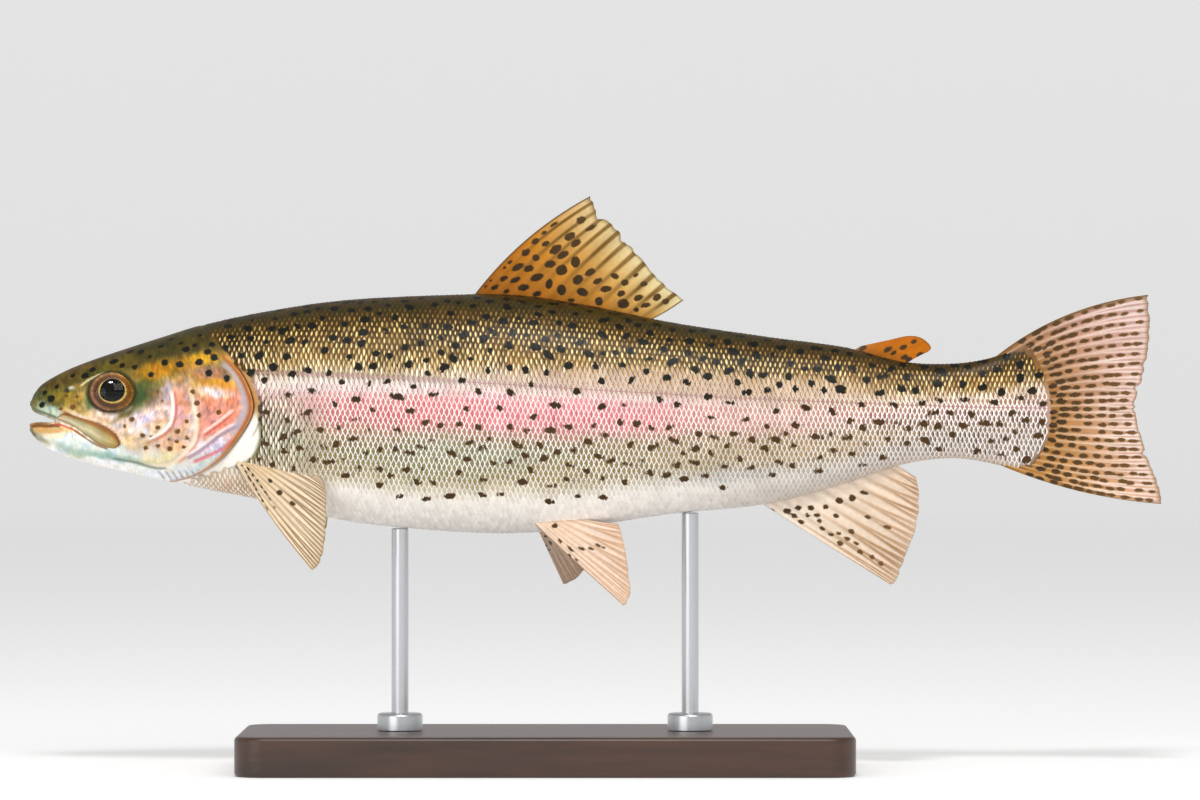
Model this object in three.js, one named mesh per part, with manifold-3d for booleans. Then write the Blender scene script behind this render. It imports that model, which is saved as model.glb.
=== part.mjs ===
// A rainbow trout, life size and still, on a plain display stand with two rods.
// Millimetres. The snout points to -X and the fish's left side faces -Y.
// +Z is up, and the stand's underside is Z = 0.

import * as THREE from 'three';
import { mergeVertices } from 'three/addons/utils/BufferGeometryUtils.js';
import Module from 'manifold-3d';

const wasm = await Module();
wasm.setup();

// ---- Driving dimensions ----

const GAP = 0.3; // left between touching pieces
const CUTTER_REACH = 60; // how far a side-view cutter reaches to each side of the middle
const CLEAR = { ahead: -210, below: 70, above: 180 }; // corners of side-view cutters, clear of the body
const BEYOND = 500; // a block this size reaches past the whole fish
const SAME_POINT = 1e-4; // points closer than this are one

// The body, station by station from snout to tail: place along X, height of the back, height of the belly,
// half the width, and the height at which it is widest.
const STATIONS = [
  { x: -200.0, back: 130.2, belly: 119.4, half: 2.2, side: 125.0 },
  { x: -199.0, back: 132.7, belly: 117.9, half: 4.0, side: 125.2 },
  { x: -196.5, back: 135.9, belly: 115.6, half: 6.0, side: 125.5 },
  { x: -192.5, back: 138.6, belly: 113.0, half: 8.0, side: 126.0 },
  { x: -186.0, back: 141.9, belly: 110.3, half: 10.5, side: 126.6 },
  { x: -178.0, back: 145.0, belly: 108.1, half: 12.9, side: 127.2 },
  { x: -168.0, back: 148.4, belly: 105.8, half: 15.2, side: 127.6 },
  { x: -154.0, back: 152.9, belly: 102.6, half: 17.6, side: 127.6 },
  { x: -138.0, back: 157.8, belly: 99.0, half: 19.4, side: 127.4 },
  { x: -118.0, back: 162.1, belly: 95.2, half: 20.9, side: 127.0 },
  { x: -92.0, back: 166.0, belly: 88.5, half: 22.4, side: 126.4 },
  { x: -60.0, back: 167.9, belly: 84.7, half: 23.2, side: 126.0 },
  { x: -30.0, back: 168.2, belly: 83.5, half: 23.0, side: 126.0 },
  { x: -5.0, back: 164.8, belly: 85.7, half: 21.9, side: 125.8 },
  { x: 25.0, back: 158.7, belly: 90.2, half: 19.4, side: 125.4 },
  { x: 60.0, back: 153.4, belly: 93.9, half: 15.6, side: 125.2 },
  { x: 88.0, back: 149.6, belly: 101.2, half: 12.0, side: 126.0 },
  { x: 108.0, back: 144.6, belly: 107.8, half: 9.0, side: 126.8 },
  { x: 126.0, back: 143.9, belly: 110.0, half: 6.8, side: 127.2 },
  { x: 140.0, back: 146.2, belly: 108.0, half: 4.8, side: 127.4 },
  { x: 150.0, back: 150.8, belly: 104.9, half: 3.2, side: 127.8 },
  { x: 161.0, back: 155.0, belly: 101.5, half: 1.3, side: 128.2 },
];
const UPPER_ROUNDING = 2.2; // power of the superellipse above the widest line
const LOWER_ROUNDING = 2.05; // and below it
const RING_STEPS = 28; // sides of each section
const LONGEST_STEP = 12; // along X, from one section to the next

// Edges in the side view, as points that a smooth curve passes through.
const NAPE_TO_THROAT = [
  [-130.5, 172], [-131.2, 156], [-131.5, 148], [-124.5, 139.4], [-120.9, 130.7], [-121.6, 124.6],
  [-126.5, 116.6], [-133.0, 109.2], [-141.0, 104.4], [-151.2, 101.6], [-160, 98],
];
const COVER_FRONT = [
  [-132.1, 148.6], [-138.6, 146], [-142.7, 141], [-143.5, 134], [-141.1, 124], [-142.0, 115.6],
  [-146.3, 109.2], [-153.9, 106.4],
];
const COVER_REST = [[-150.2, 105], [-140.4, 105], [-114, 104], [-114, 148.6]]; // runs past the gill opening
const COVER_THICKNESS = 3;
const THROAT_HALF_WIDTH = 2.5; // middle strip of the throat that stays with the head

const LOWER_LIP = [
  [-203, 122.0], [-200.1, 122.1], [-197.2, 122.4], [-192.9, 122.3], [-189.2, 122.9], [-183.9, 120.6],
  [-179.8, 117.3], [-173.8, 114.3], [-168.2, 112.6], [-160.2, 109.6], [-156.8, 105.4], [-156.5, 98],
];
const LIP_CORNER = 5; // the mouth's slit uses this many points of the lower lip
const UPPER_LIP = [
  [-203, 133], [-200.2, 130.0], [-199.8, 128.8], [-199.2, 127.7], [-197.6, 126.7], [-194.4, 125.5],
  [-191.2, 124.2], [-187.9, 122.75],
];
const MAXILLA = [
  [-189.7, 124.2], [-187.8, 126.0], [-179.8, 124.0], [-173.8, 121.7], [-169.1, 118.1], [-167.7, 115.3],
  [-170.0, 113.7], [-174.9, 115.0], [-179.7, 118.4], [-184.0, 121.4],
];
const MAXILLA_PROUD = 0.5; // how far the jaw plate stands out of the cheek
const MAXILLA_DEPTH = 1.3; // and how deep it goes in

const EYE = { x: -170.3, z: 133.3, out: 11.9, length: 17.0, height: 15.6, depth: 9.4 };
const EYE_TILT = { up: 0.16, ahead: 0.1 };
const EYE_STEPS = { around: 18, down: 10 };

const TRUNK_END = 59;
const TAIL_MARGIN = [
  [148, 160], [153.4, 149], [158.6, 138], [160.4, 127.4], [158.8, 116], [153.2, 106.4], [148, 96],
];

// Fins. root runs along the body from the first ray to the last, just under the skin; margin is where those
// rays end; bow bends the first ray outwards and lastBow the last one.
const FIN_EDGE = 0.6; // thickness at the margin
const FIN_TAPER = 1.5; // power by which a fin thins from root to margin
const FIN_ENDS = { share: 0.45, rise: 4 }; // of the root's thickness, at the first and last ray and inwards
const BOW_POWER = 3; // how fast a bend dies out across the rays
const DORSAL = {
  root: [[-45.5, 165.0], [-15.0, 162.5], [14.0, 157.0]],
  margin: [[-2.1, 203.0], [1.0, 196.8], [7.6, 191.2], [14.4, 182.4], [22.4, 173.2], [30.7, 166.2]],
  bow: [-1.6, 1.6], lastBow: [0, -0.8], rootThickness: 2.2, rays: 12, steps: 4,
};
const ADIPOSE = {
  root: [[88.5, 146.5], [99.0, 143.8], [107.6, 141.6]],
  margin: [
    [93.4, 149.9], [102.6, 151.9], [109.6, 153.4], [114.4, 152.8], [117.8, 149.9], [117.0, 147.9],
    [112.6, 146.2],
  ],
  bow: [0, 0.2], lastBow: [0, 0.3], rootThickness: 3.2, rays: 10, steps: 3,
};
const CAUDAL = {
  root: [
    [139.5, 145.0], [150.5, 143.0], [156.4, 135.5], [157.8, 127.4], [156.4, 119.0], [150.2, 110.4],
    [140.5, 108.6],
  ],
  margin: [
    [194.9, 168.0], [195.6, 158.4], [195.0, 148.4], [193.0, 139.2], [190.6, 131.0], [190.6, 124.4],
    [192.6, 116.8], [195.2, 109.4], [198.2, 101.6], [200.0, 94.0],
  ],
  bow: [-2.0, 4.0], lastBow: [-0.4, -2.6], rootThickness: 2.4, rays: 18, steps: 5,
};
const ANAL = {
  root: [[53.2, 97.4], [78.0, 101.6], [102.5, 109.6]],
  margin: [
    [103.9, 65.4], [106.6, 67.8], [109.0, 75.6], [112.0, 83.4], [113.8, 91.0], [113.8, 98.6], [112.8, 103.4],
  ],
  bow: [-0.4, 0.2], lastBow: [0, 0.2], rootThickness: 2.0, rays: 12, steps: 4,
};
// Paired fins are drawn as the left ones look from the side. Each hangs from a line along X at hinge and is
// swung out by splay, so its true length is longer than drawn.
const PECTORAL = {
  root: [[-126.6, 108.0], [-124.4, 110.4], [-121.4, 111.8]],
  margin: [
    [-99.2, 71.4], [-96.4, 74.4], [-95.2, 80.6], [-94.6, 88.4], [-94.8, 95.6], [-95.2, 100.2],
    [-96.8, 103.4],
  ],
  bow: [-0.6, -0.8], lastBow: [0.4, 3.4], rootThickness: 2.4, rays: 10, steps: 4,
};
const PELVIC = {
  root: [[-22.4, 87.6], [-19.2, 89.6], [-15.6, 91.4]],
  margin: [[9.4, 58.6], [11.4, 60.6], [11.8, 65.6], [10.6, 74.0], [8.8, 83.6], [7.4, 87.4]],
  bow: [-0.3, 0.2], lastBow: [0, -0.8], rootThickness: 2.2, rays: 10, steps: 3,
};
const DRAWN_SPLAY = 0.38;
const LEFT_PECTORAL_POSE = { hinge: [-14.6, 110.4], splay: DRAWN_SPLAY, turn: 0 };
const RIGHT_PECTORAL_POSE = { hinge: [14.6, 110.4], splay: DRAWN_SPLAY, turn: 0.07 };
const LEFT_PELVIC_POSE = { hinge: [-8.0, 88.6], splay: DRAWN_SPLAY, turn: 0 };
const RIGHT_PELVIC_POSE = { hinge: [8.0, 88.6], splay: 0.98, turn: 0.56 };

const STAND_BASE = { centre: -18, length: 216, width: 100, height: 14, corner: 10, chamfer: 1.5 };
const ROD_RADIUS = 3;
const ROUND_SIDES = 20;
const ROD_PLACES = { front: -69.6, rear: 32.9 };
const COLLAR = { outer: 8, height: 6, edge: 1.2 };

const COLOURS = {
  skin: 0x8f8a62, cover: 0xc98f90, jaw: 0xa39a66, throat: 0xd9dccb, fin: 0xc79a63, paired: 0xd9bd92,
  eye: 0xb06a4c, wood: 0x3b2418, steel: 0xb9bcc0,
};

// ---- Materials ----

function material(colour, roughness, metalness = 0) {
  return new THREE.MeshStandardMaterial({ color: colour, roughness, metalness });
}

const skin = material(COLOURS.skin, 0.35);
const coverSkin = material(COLOURS.cover, 0.3);
const jawSkin = material(COLOURS.jaw, 0.35);
const throatSkin = material(COLOURS.throat, 0.35);
const finSkin = material(COLOURS.fin, 0.45);
const pairedFinSkin = material(COLOURS.paired, 0.45);
const eyeGloss = material(COLOURS.eye, 0.08);
const wood = material(COLOURS.wood, 0.45);
const steel = material(COLOURS.steel, 0.3, 1);

// ---- Solids ----

// A closed mesh as a solid, turned the right way out if its volume came out below nought.
function solid(geometry) {
  const bare = geometry.clone();
  bare.deleteAttribute('normal');
  bare.deleteAttribute('uv');
  const merged = mergeVertices(bare, SAME_POINT);
  const vertProperties = Float32Array.from(merged.attributes.position.array);
  const kept = [];
  for (let i = 0; i < merged.index.count; i += 3) {
    const [a, b, c] = merged.index.array.slice(i, i + 3);
    if (a !== b && b !== c && a !== c) kept.push(a, b, c);
  }
  const made = (faces) => {
    const triVerts = Uint32Array.from(faces);
    return new wasm.Manifold(new wasm.Mesh({ numProp: 3, vertProperties, triVerts }));
  };
  const result = made(kept);
  return result.volume() > 0 ? result : made(kept.reverse());
}

function geometry(manifold) {
  const mesh = manifold.getMesh();
  const result = new THREE.BufferGeometry();
  result.setAttribute('position', new THREE.BufferAttribute(mesh.vertProperties, 3));
  result.setIndex(new THREE.BufferAttribute(mesh.triVerts, 1));
  result.computeVertexNormals();
  return result;
}

function largest(manifold) {
  return manifold.decompose().sort((a, b) => b.volume() - a.volume())[0];
}

function piece(name, manifold, finish) {
  const mesh = new THREE.Mesh(geometry(largest(manifold)), finish);
  mesh.name = name;
  return mesh;
}

// A closed skin over a grid of points: rows of equal length, each row a loop, with the two end rows capped.
function skinOver(rows) {
  const around = rows[0].length;
  const points = rows.flat();
  const faces = [];
  for (let r = 0; r + 1 < rows.length; r += 1) {
    for (let c = 0; c < around; c += 1) {
      const a = r * around + c;
      const b = r * around + ((c + 1) % around);
      faces.push(a, b, a + around, b, b + around, a + around);
    }
  }
  for (const [row, turn] of [[0, false], [rows.length - 1, true]]) {
    const centre = points.length;
    const middle = new THREE.Vector3();
    rows[row].forEach((p) => middle.addScaledVector(p, 1 / around));
    points.push(middle);
    for (let c = 0; c < around; c += 1) {
      const a = row * around + c;
      const b = row * around + ((c + 1) % around);
      faces.push(...(turn ? [centre, a, b] : [centre, b, a]));
    }
  }
  const result = new THREE.BufferGeometry().setFromPoints(points);
  result.setIndex(faces);
  return result;
}

// ---- The body's form ----

// A value between stations, on a cubic whose slope at each station is that of its two neighbours.
function along(key, x) {
  const last = STATIONS.length - 1;
  let i = STATIONS.findIndex((s, n) => n === last - 1 || x < STATIONS[n + 1].x);
  i = Math.max(i, 0);
  const slope = (n) => {
    const before = STATIONS[Math.max(n - 1, 0)];
    const after = STATIONS[Math.min(n + 1, last)];
    return (after[key] - before[key]) / (after.x - before.x);
  };
  const [p, q] = [STATIONS[i], STATIONS[i + 1]];
  const span = q.x - p.x;
  const t = (x - p.x) / span;
  const [t2, t3] = [t * t, t * t * t];
  return p[key] * (2 * t3 - 3 * t2 + 1) + slope(i) * span * (t3 - 2 * t2 + t)
    + q[key] * (3 * t2 - 2 * t3) + slope(i + 1) * span * (t3 - t2);
}

// One section: a superellipse above the widest line and another below it, grown outwards by grow.
function section(x, grow) {
  const [back, belly, half, side] = ['back', 'belly', 'half', 'side'].map((key) => along(key, x));
  const ring = [];
  for (let i = 0; i < RING_STEPS; i += 1) {
    const angle = (2 * Math.PI * i) / RING_STEPS;
    const [up, out] = [Math.cos(angle), Math.sin(angle)];
    const power = 2 / (up > 0 ? UPPER_ROUNDING : LOWER_ROUNDING);
    const reach = (up > 0 ? back - side : side - belly) + grow;
    const y = Math.sign(out) * Math.abs(out) ** power * Math.max(half + grow, 0.2);
    ring.push(new THREE.Vector3(x, y, side + Math.sign(up) * Math.abs(up) ** power * reach));
  }
  return ring;
}

function bodyLoft(grow = 0) {
  const rows = [];
  STATIONS.slice(0, -1).forEach((station, n) => {
    const span = STATIONS[n + 1].x - station.x;
    const steps = Math.ceil(span / LONGEST_STEP);
    for (let i = 0; i < steps; i += 1) rows.push(section(station.x + (span * i) / steps, grow));
  });
  rows.push(section(STATIONS.at(-1).x, grow));
  rows[0].forEach((p) => { p.x -= grow; });
  rows.at(-1).forEach((p) => { p.x += grow; });
  return solid(skinOver(rows));
}

// ---- Side-view cutters ----

function smooth(points, stepsPerSpan = 3) {
  const curve = new THREE.SplineCurve(points.map(([x, z]) => new THREE.Vector2(x, z)));
  return curve.getPoints((points.length - 1) * stepsPerSpan);
}

function corners(...points) {
  return points.map(([x, z]) => new THREE.Vector2(x, z));
}

function shifted(outline, dx) {
  return outline.map((p) => new THREE.Vector2(p.x + dx, p.y));
}

// An outline with each of its edges moved outwards by a distance.
function grown(outline, distance) {
  const turn = Math.sign(THREE.ShapeUtils.area(outline));
  const outwards = (from, to) => {
    const way = to.clone().sub(from).normalize();
    return new THREE.Vector2(way.y * turn, -way.x * turn);
  };
  return outline.map((p, i) => {
    const before = outwards(outline.at(i - 1), p);
    const after = outwards(p, outline[(i + 1) % outline.length]);
    const mitre = distance / (1 + before.dot(after));
    return p.clone().addScaledVector(before.add(after), mitre);
  });
}

function cutter(outline) {
  const size = { depth: 2 * CUTTER_REACH, bevelEnabled: false };
  const block = new THREE.ExtrudeGeometry(new THREE.Shape(outline), size);
  block.rotateX(Math.PI / 2);
  block.translate(0, CUTTER_REACH, 0);
  return solid(block);
}

function slab(halfWidth) {
  return solid(new THREE.BoxGeometry(BEYOND, 2 * halfWidth, BEYOND));
}

// Everything to one side of the middle: -1 is the fish's left, 1 its right.
function halfSpace(side) {
  const block = new THREE.BoxGeometry(BEYOND, BEYOND, BEYOND);
  block.translate(0, (side * BEYOND) / 2, 0);
  return solid(block);
}

const headEdge = smooth(NAPE_TO_THROAT);
const headRegion = [...headEdge, ...corners([CLEAR.ahead, CLEAR.below], [CLEAR.ahead, CLEAR.above])];
const trunkRegion = [
  ...shifted(headEdge, GAP),
  ...corners([headEdge.at(-1).x, CLEAR.below], [TRUNK_END, CLEAR.below], [TRUNK_END, CLEAR.above]),
];
const tailRegion = [
  ...smooth(TAIL_MARGIN),
  ...corners([TRUNK_END + GAP, CLEAR.below], [TRUNK_END + GAP, CLEAR.above]),
];
const jawRegion = [...smooth(LOWER_LIP), ...corners([LOWER_LIP[0][0], LOWER_LIP.at(-1)[1]])];
const mouthRegion = [...smooth(UPPER_LIP), ...smooth(LOWER_LIP.slice(0, LIP_CORNER)).reverse()];
const coverRegion = [...smooth(COVER_FRONT), ...corners(...COVER_REST)];

// ---- Head ----

function eyeball(side, grow = 0) {
  const ball = new THREE.SphereGeometry(1, EYE_STEPS.around, EYE_STEPS.down);
  ball.rotateX(Math.PI / 2);
  ball.scale(EYE.length / 2 + grow, EYE.depth / 2 + grow, EYE.height / 2 + grow);
  ball.rotateX(side * EYE_TILT.up);
  ball.rotateZ(-side * EYE_TILT.ahead);
  ball.translate(EYE.x, side * EYE.out, EYE.z);
  return solid(ball);
}

function jawPlates(region, proud, depth) {
  return cutter(region).intersect(bodyLoft(proud)).subtract(bodyLoft(-depth));
}

function buildHead(body) {
  const maxilla = smooth([...MAXILLA, MAXILLA[0]]).slice(0, -1);
  const whole = body.intersect(cutter(headRegion));
  const mouth = cutter(mouthRegion);
  const coverSeat = cutter(grown(coverRegion, GAP)).subtract(bodyLoft(-COVER_THICKNESS - GAP))
    .subtract(slab(THROAT_HALF_WIDTH - GAP));
  const plateSeat = jawPlates(grown(maxilla, GAP), MAXILLA_PROUD, MAXILLA_DEPTH + GAP);
  const sockets = eyeball(1, GAP).add(eyeball(-1, GAP));
  const upper = whole.subtract(cutter(grown(jawRegion, GAP))).subtract(mouth).subtract(coverSeat)
    .subtract(plateSeat).subtract(sockets);
  const lower = whole.intersect(cutter(jawRegion)).subtract(mouth).subtract(plateSeat).subtract(coverSeat);
  const covers = whole.intersect(cutter(coverRegion)).subtract(bodyLoft(-COVER_THICKNESS))
    .subtract(slab(THROAT_HALF_WIDTH));
  const plates = jawPlates(maxilla, MAXILLA_PROUD, MAXILLA_DEPTH);
  const [left, right] = [halfSpace(-1), halfSpace(1)];
  return [
    piece('head', upper, skin),
    piece('lower_jaw', lower, throatSkin),
    piece('upper_jaw_left', plates.intersect(left), jawSkin),
    piece('upper_jaw_right', plates.intersect(right), jawSkin),
    piece('gill_cover_left', covers.intersect(left), coverSkin),
    piece('gill_cover_right', covers.intersect(right), coverSkin),
    piece('eye_left', eyeball(-1), eyeGloss),
    piece('eye_right', eyeball(1), eyeGloss),
  ];
}

// ---- Fins ----

function finCurve(points) {
  return new THREE.SplineCurve(points.map(([x, z]) => new THREE.Vector2(x, z)));
}

// A fin as a thin closed plate: each ray runs from root to margin, and the plate thins towards the margin.
function finPlate({ root, margin, bow, lastBow, rootThickness, rays, steps }) {
  const [start, end] = [finCurve(root), finCurve(margin)];
  const rows = [];
  for (let r = 0; r <= rays; r += 1) {
    const u = r / rays;
    const [from, to] = [start.getPoint(u), end.getPoint(u)];
    const near = [];
    const far = [];
    for (let s = 0; s <= steps; s += 1) {
      const v = s / steps;
      const bend = 4 * v * (1 - v);
      const [first, last] = [bend * (1 - u) ** BOW_POWER, bend * u ** BOW_POWER];
      const x = from.x + (to.x - from.x) * v + bow[0] * first + lastBow[0] * last;
      const z = from.y + (to.y - from.y) * v + bow[1] * first + lastBow[1] * last;
      const share = Math.min(1, Math.sin(Math.PI * u) * FIN_ENDS.rise + FIN_ENDS.share);
      const half = (FIN_EDGE + (rootThickness - FIN_EDGE) * (1 - v) ** FIN_TAPER * share) / 2;
      near.push(new THREE.Vector3(x, -half, z));
      far.unshift(new THREE.Vector3(x, half, z));
    }
    rows.push([...near, ...far]);
  }
  return skinOver(rows);
}

// Middle fins stand in the fish's own plane; the skin of the body cuts their roots.
function middleFin(name, shape, body) {
  return piece(name, solid(finPlate(shape)).subtract(body), finSkin);
}

// A paired fin: turn swings it towards the snout in its own plane, then splay swings it out from the side.
function pairedFin(name, shape, pose, grownBody) {
  const plate = finPlate(shape);
  const [y, z] = pose.hinge;
  const x = shape.root[1][0];
  plate.translate(-x, 0, -z);
  plate.scale(1, 1, 1 / Math.cos(DRAWN_SPLAY));
  plate.rotateY(pose.turn);
  plate.rotateX(Math.sign(y) * pose.splay);
  plate.translate(x, y, z);
  return piece(name, solid(plate).subtract(grownBody), pairedFinSkin);
}

function buildFins(grownBody) {
  const tailCut = cutter(grown(tailRegion, GAP));
  return [
    middleFin('dorsal_fin', DORSAL, grownBody),
    middleFin('adipose_fin', ADIPOSE, grownBody),
    middleFin('anal_fin', ANAL, grownBody),
    piece('caudal_fin', solid(finPlate(CAUDAL)).subtract(tailCut.intersect(bodyLoft(GAP))), finSkin),
    pairedFin('pectoral_fin_left', PECTORAL, LEFT_PECTORAL_POSE, grownBody),
    pairedFin('pectoral_fin_right', PECTORAL, RIGHT_PECTORAL_POSE, grownBody),
    pairedFin('pelvic_fin_left', PELVIC, LEFT_PELVIC_POSE, grownBody),
    pairedFin('pelvic_fin_right', PELVIC, RIGHT_PELVIC_POSE, grownBody),
  ];
}

// ---- Stand ----

function standBase() {
  const { centre, length, width, height, corner, chamfer } = STAND_BASE;
  const [a, b] = [length / 2 - chamfer, width / 2 - chamfer];
  const outline = new THREE.Shape();
  outline.moveTo(-a + corner, -b);
  outline.lineTo(a - corner, -b);
  outline.absarc(a - corner, -b + corner, corner, -Math.PI / 2, 0, false);
  outline.absarc(a - corner, b - corner, corner, 0, Math.PI / 2, false);
  outline.absarc(-a + corner, b - corner, corner, Math.PI / 2, Math.PI, false);
  outline.absarc(-a + corner, -b + corner, corner, Math.PI, 1.5 * Math.PI, false);
  const slabShape = new THREE.ExtrudeGeometry(outline, {
    depth: height - 2 * chamfer,
    bevelThickness: chamfer,
    bevelSize: chamfer,
    bevelSegments: 1,
    curveSegments: 4,
  });
  slabShape.translate(centre, 0, chamfer);
  return piece('stand_base', solid(slabShape), wood);
}

function lathe(profile, sides) {
  const turned = new THREE.LatheGeometry(profile.map(([r, z]) => new THREE.Vector2(r, z)), sides);
  turned.rotateX(Math.PI / 2);
  return turned;
}

function standRod(name, x, grownBody) {
  const bottom = STAND_BASE.height + GAP;
  const top = along('belly', x) + ROD_RADIUS;
  const rod = lathe([[0, bottom], [ROD_RADIUS, bottom], [ROD_RADIUS, top], [0, top]], ROUND_SIDES);
  rod.translate(x, 0, 0);
  return piece(name, solid(rod).subtract(grownBody), steel);
}

function standCollar(name, x) {
  const { outer, height, edge } = COLLAR;
  const bottom = STAND_BASE.height + GAP;
  const inner = ROD_RADIUS + GAP;
  const ring = lathe([
    [inner, bottom], [outer, bottom], [outer, bottom + height - edge], [outer - edge, bottom + height],
    [inner, bottom + height], [inner, bottom],
  ], ROUND_SIDES);
  ring.translate(x, 0, 0);
  return piece(name, solid(ring), steel);
}

function buildStand(grownBody) {
  const parts = [standBase()];
  for (const [place, x] of Object.entries(ROD_PLACES)) {
    parts.push(standRod(`stand_rod_${place}`, x, grownBody));
    parts.push(standCollar(`stand_collar_${place}`, x));
  }
  return parts;
}

// ---- The whole ----

const body = bodyLoft();
const grownBody = bodyLoft(GAP);
const group = new THREE.Group();
group.add(...buildHead(body));
group.add(piece('trunk', body.intersect(cutter(trunkRegion)), skin));
group.add(piece('tail_stalk', body.intersect(cutter(tailRegion)), skin));
group.add(...buildFins(grownBody));
group.add(...buildStand(grownBody));

export default group;
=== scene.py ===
"""A rainbow trout, life size and still, on a plain display stand with two rods.

The snout points to -X, the left side faces -Y and +Z is up. Shapes are worked out in millimetres and turned to
metres when they become meshes.
"""

import logging
import math
from dataclasses import dataclass, field
from enum import IntEnum

import bmesh
import bpy
import numpy as np
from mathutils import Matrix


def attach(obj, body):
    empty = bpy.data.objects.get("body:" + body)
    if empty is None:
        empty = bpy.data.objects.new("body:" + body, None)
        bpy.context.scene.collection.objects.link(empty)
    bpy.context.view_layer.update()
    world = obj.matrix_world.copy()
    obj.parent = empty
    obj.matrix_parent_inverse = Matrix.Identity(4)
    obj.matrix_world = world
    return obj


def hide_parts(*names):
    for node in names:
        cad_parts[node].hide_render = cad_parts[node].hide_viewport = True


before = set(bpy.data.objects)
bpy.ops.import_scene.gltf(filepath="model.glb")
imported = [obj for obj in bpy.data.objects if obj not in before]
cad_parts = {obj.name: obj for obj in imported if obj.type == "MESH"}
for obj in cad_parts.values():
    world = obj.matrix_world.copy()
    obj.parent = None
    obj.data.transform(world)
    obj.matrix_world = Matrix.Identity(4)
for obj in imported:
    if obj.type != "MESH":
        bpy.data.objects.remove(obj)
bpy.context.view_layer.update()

Array = np.ndarray
Points = tuple[tuple[float, float], ...]
MM = 0.001
BODY = "root"
BAKE_MAP = "OFBake"
MAP_GIRTH = 120.0
VECTORS = ("cell", "trim")

log = logging.getLogger("trout")


class Side(IntEnum):
    """The fish's two sides, as the sign of Y."""

    LEFT = -1
    RIGHT = 1

    @property
    def label(self) -> str:
        """The side's word in a piece's name."""
        return self.name.lower()


# ---------------------------------------------------------------------------------------------------------------
# Sums used everywhere


def smoothstep(low: float, high: float, x: Array) -> Array:
    """3q^2 - 2q^3, where q is how far x lies from low to high, held to 0..1."""
    q = np.clip((np.asarray(x, float) - low) / (high - low), 0.0, 1.0)
    return q * q * (3.0 - 2.0 * q)


def band(x: Array, low: float, full: float, still: float, high: float) -> Array:
    """1 from full to still, 0 below low and above high, and smooth between."""
    return smoothstep(low, full, x) * (1 - smoothstep(still, high, x))


def bell(gap: Array, width: float) -> Array:
    """exp(-(gap / width)^2): 1 where the gap is nought, falling evenly on both sides."""
    return np.exp(-((gap / width) ** 2))


def mix(a: Array, b: Array, share: Array) -> Array:
    """a (1 - share) + b share, for colours or points, with one share to each."""
    share = share[..., None]
    return np.asarray(a) * (1 - share) + np.asarray(b) * share


def linear(colour: Array) -> Array:
    """Turns screen colours of 0..255 into linear light of 0..1."""
    c = np.clip(np.asarray(colour, float) / 255.0, 0.0, 1.0)
    return np.where(c <= 0.04045, c / 12.92, ((c + 0.055) / 1.055) ** 2.4)


def gradient(at: Array, stops: tuple[float, ...], colours: Array) -> Array:
    """Colours blended straight between stops, each channel by itself."""
    return np.stack([np.interp(at, stops, channel) for channel in np.array(colours, float).T], axis=-1)


def lay(colour: Array, share: Array, over: Array) -> None:
    """Turns colours, in place, towards another: colour + share (over - colour)."""
    colour += share[..., None] * (np.array(over) - colour)


def shifted(path: Points, x: float, z: float) -> Points:
    """A line moved along X and Z."""
    return tuple((px + x, pz + z) for px, pz in path)


def unspotted(paint: Array) -> dict[str, Array]:
    """A patch's values where no spot lies on it."""
    shape = paint.shape[:2]
    return {"paint": paint, "spot": np.full(shape, -5.0), "tone": np.zeros(shape)}


def ripple(u: Array, v: Array, cell: float, seed: int) -> Array:
    """Soft noise of 0..1: random values on a square lattice, blended between its corners by 3q^2 - 2q^3.

    Args:
        u, v: where to take it.
        cell: the lattice's spacing, in the unit of u and v.
        seed: chooses the random values.

    Returns:
        The noise, shaped like u.
    """
    side = 128
    table = np.random.default_rng(seed).random((side, side))
    a, b = np.asarray(u, float) / cell, np.asarray(v, float) / cell
    i, j = np.floor(a).astype(int), np.floor(b).astype(int)
    p, q = smoothstep(0, 1, a - i), smoothstep(0, 1, b - j)
    i0, i1, j0, j1 = i % side, (i + 1) % side, j % side, (j + 1) % side
    near = table[i0, j0] * (1 - p) + table[i1, j0] * p
    far = table[i0, j1] * (1 - p) + table[i1, j1] * p
    return near * (1 - q) + far * q


def from_line(x: Array, z: Array, line: Array) -> tuple[Array, Array]:
    """How far points lie from a line of straight pieces.

    Args:
        x, z: the points.
        line: the corners of the line, one to a row.

    Returns:
        The distance to the nearest point of the line, and where along the line that is, from 0 to 1.
    """
    best = np.full(np.shape(x), 1e9)
    along = np.zeros(np.shape(x))
    steps = np.diff(line, axis=0)
    for k, (start, step) in enumerate(zip(line[:-1], steps)):
        q = ((x - start[0]) * step[0] + (z - start[1]) * step[1]) / max(step @ step, 1e-12)
        q = np.clip(q, 0.0, 1.0)
        gap = np.hypot(x - start[0] - q * step[0], z - start[1] - q * step[1])
        nearer = gap < best
        best = np.where(nearer, gap, best)
        along = np.where(nearer, (k + q) / len(steps), along)
    return best, along


@dataclass(frozen=True)
class Curve:
    """A smooth curve through points, each span a cubic whose end slopes are half the step between neighbours."""

    points: Points

    def at(self, u: Array) -> Array:
        """The curve's points at u, from 0 at its start to 1 at its end."""
        p = np.array(self.points, float)
        last = len(p) - 1
        place = np.clip(np.asarray(u, float), 0.0, 1.0) * last
        i = np.minimum(np.floor(place).astype(int), last - 1)
        t = (place - i)[..., None]
        before, start, end, after = p[np.maximum(i - 1, 0)], p[i], p[i + 1], p[np.minimum(i + 2, last)]
        rise, fall = (end - before) / 2, (after - start) / 2
        return (
            (2 * start - 2 * end + rise + fall) * t**3
            + (3 * end - 3 * start - 2 * rise - fall) * t**2
            + rise * t
            + start
        )

    def line(self, steps: int = 48) -> Array:
        """The curve as a line of straight pieces."""
        return self.at(np.linspace(0, 1, steps + 1))


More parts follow.
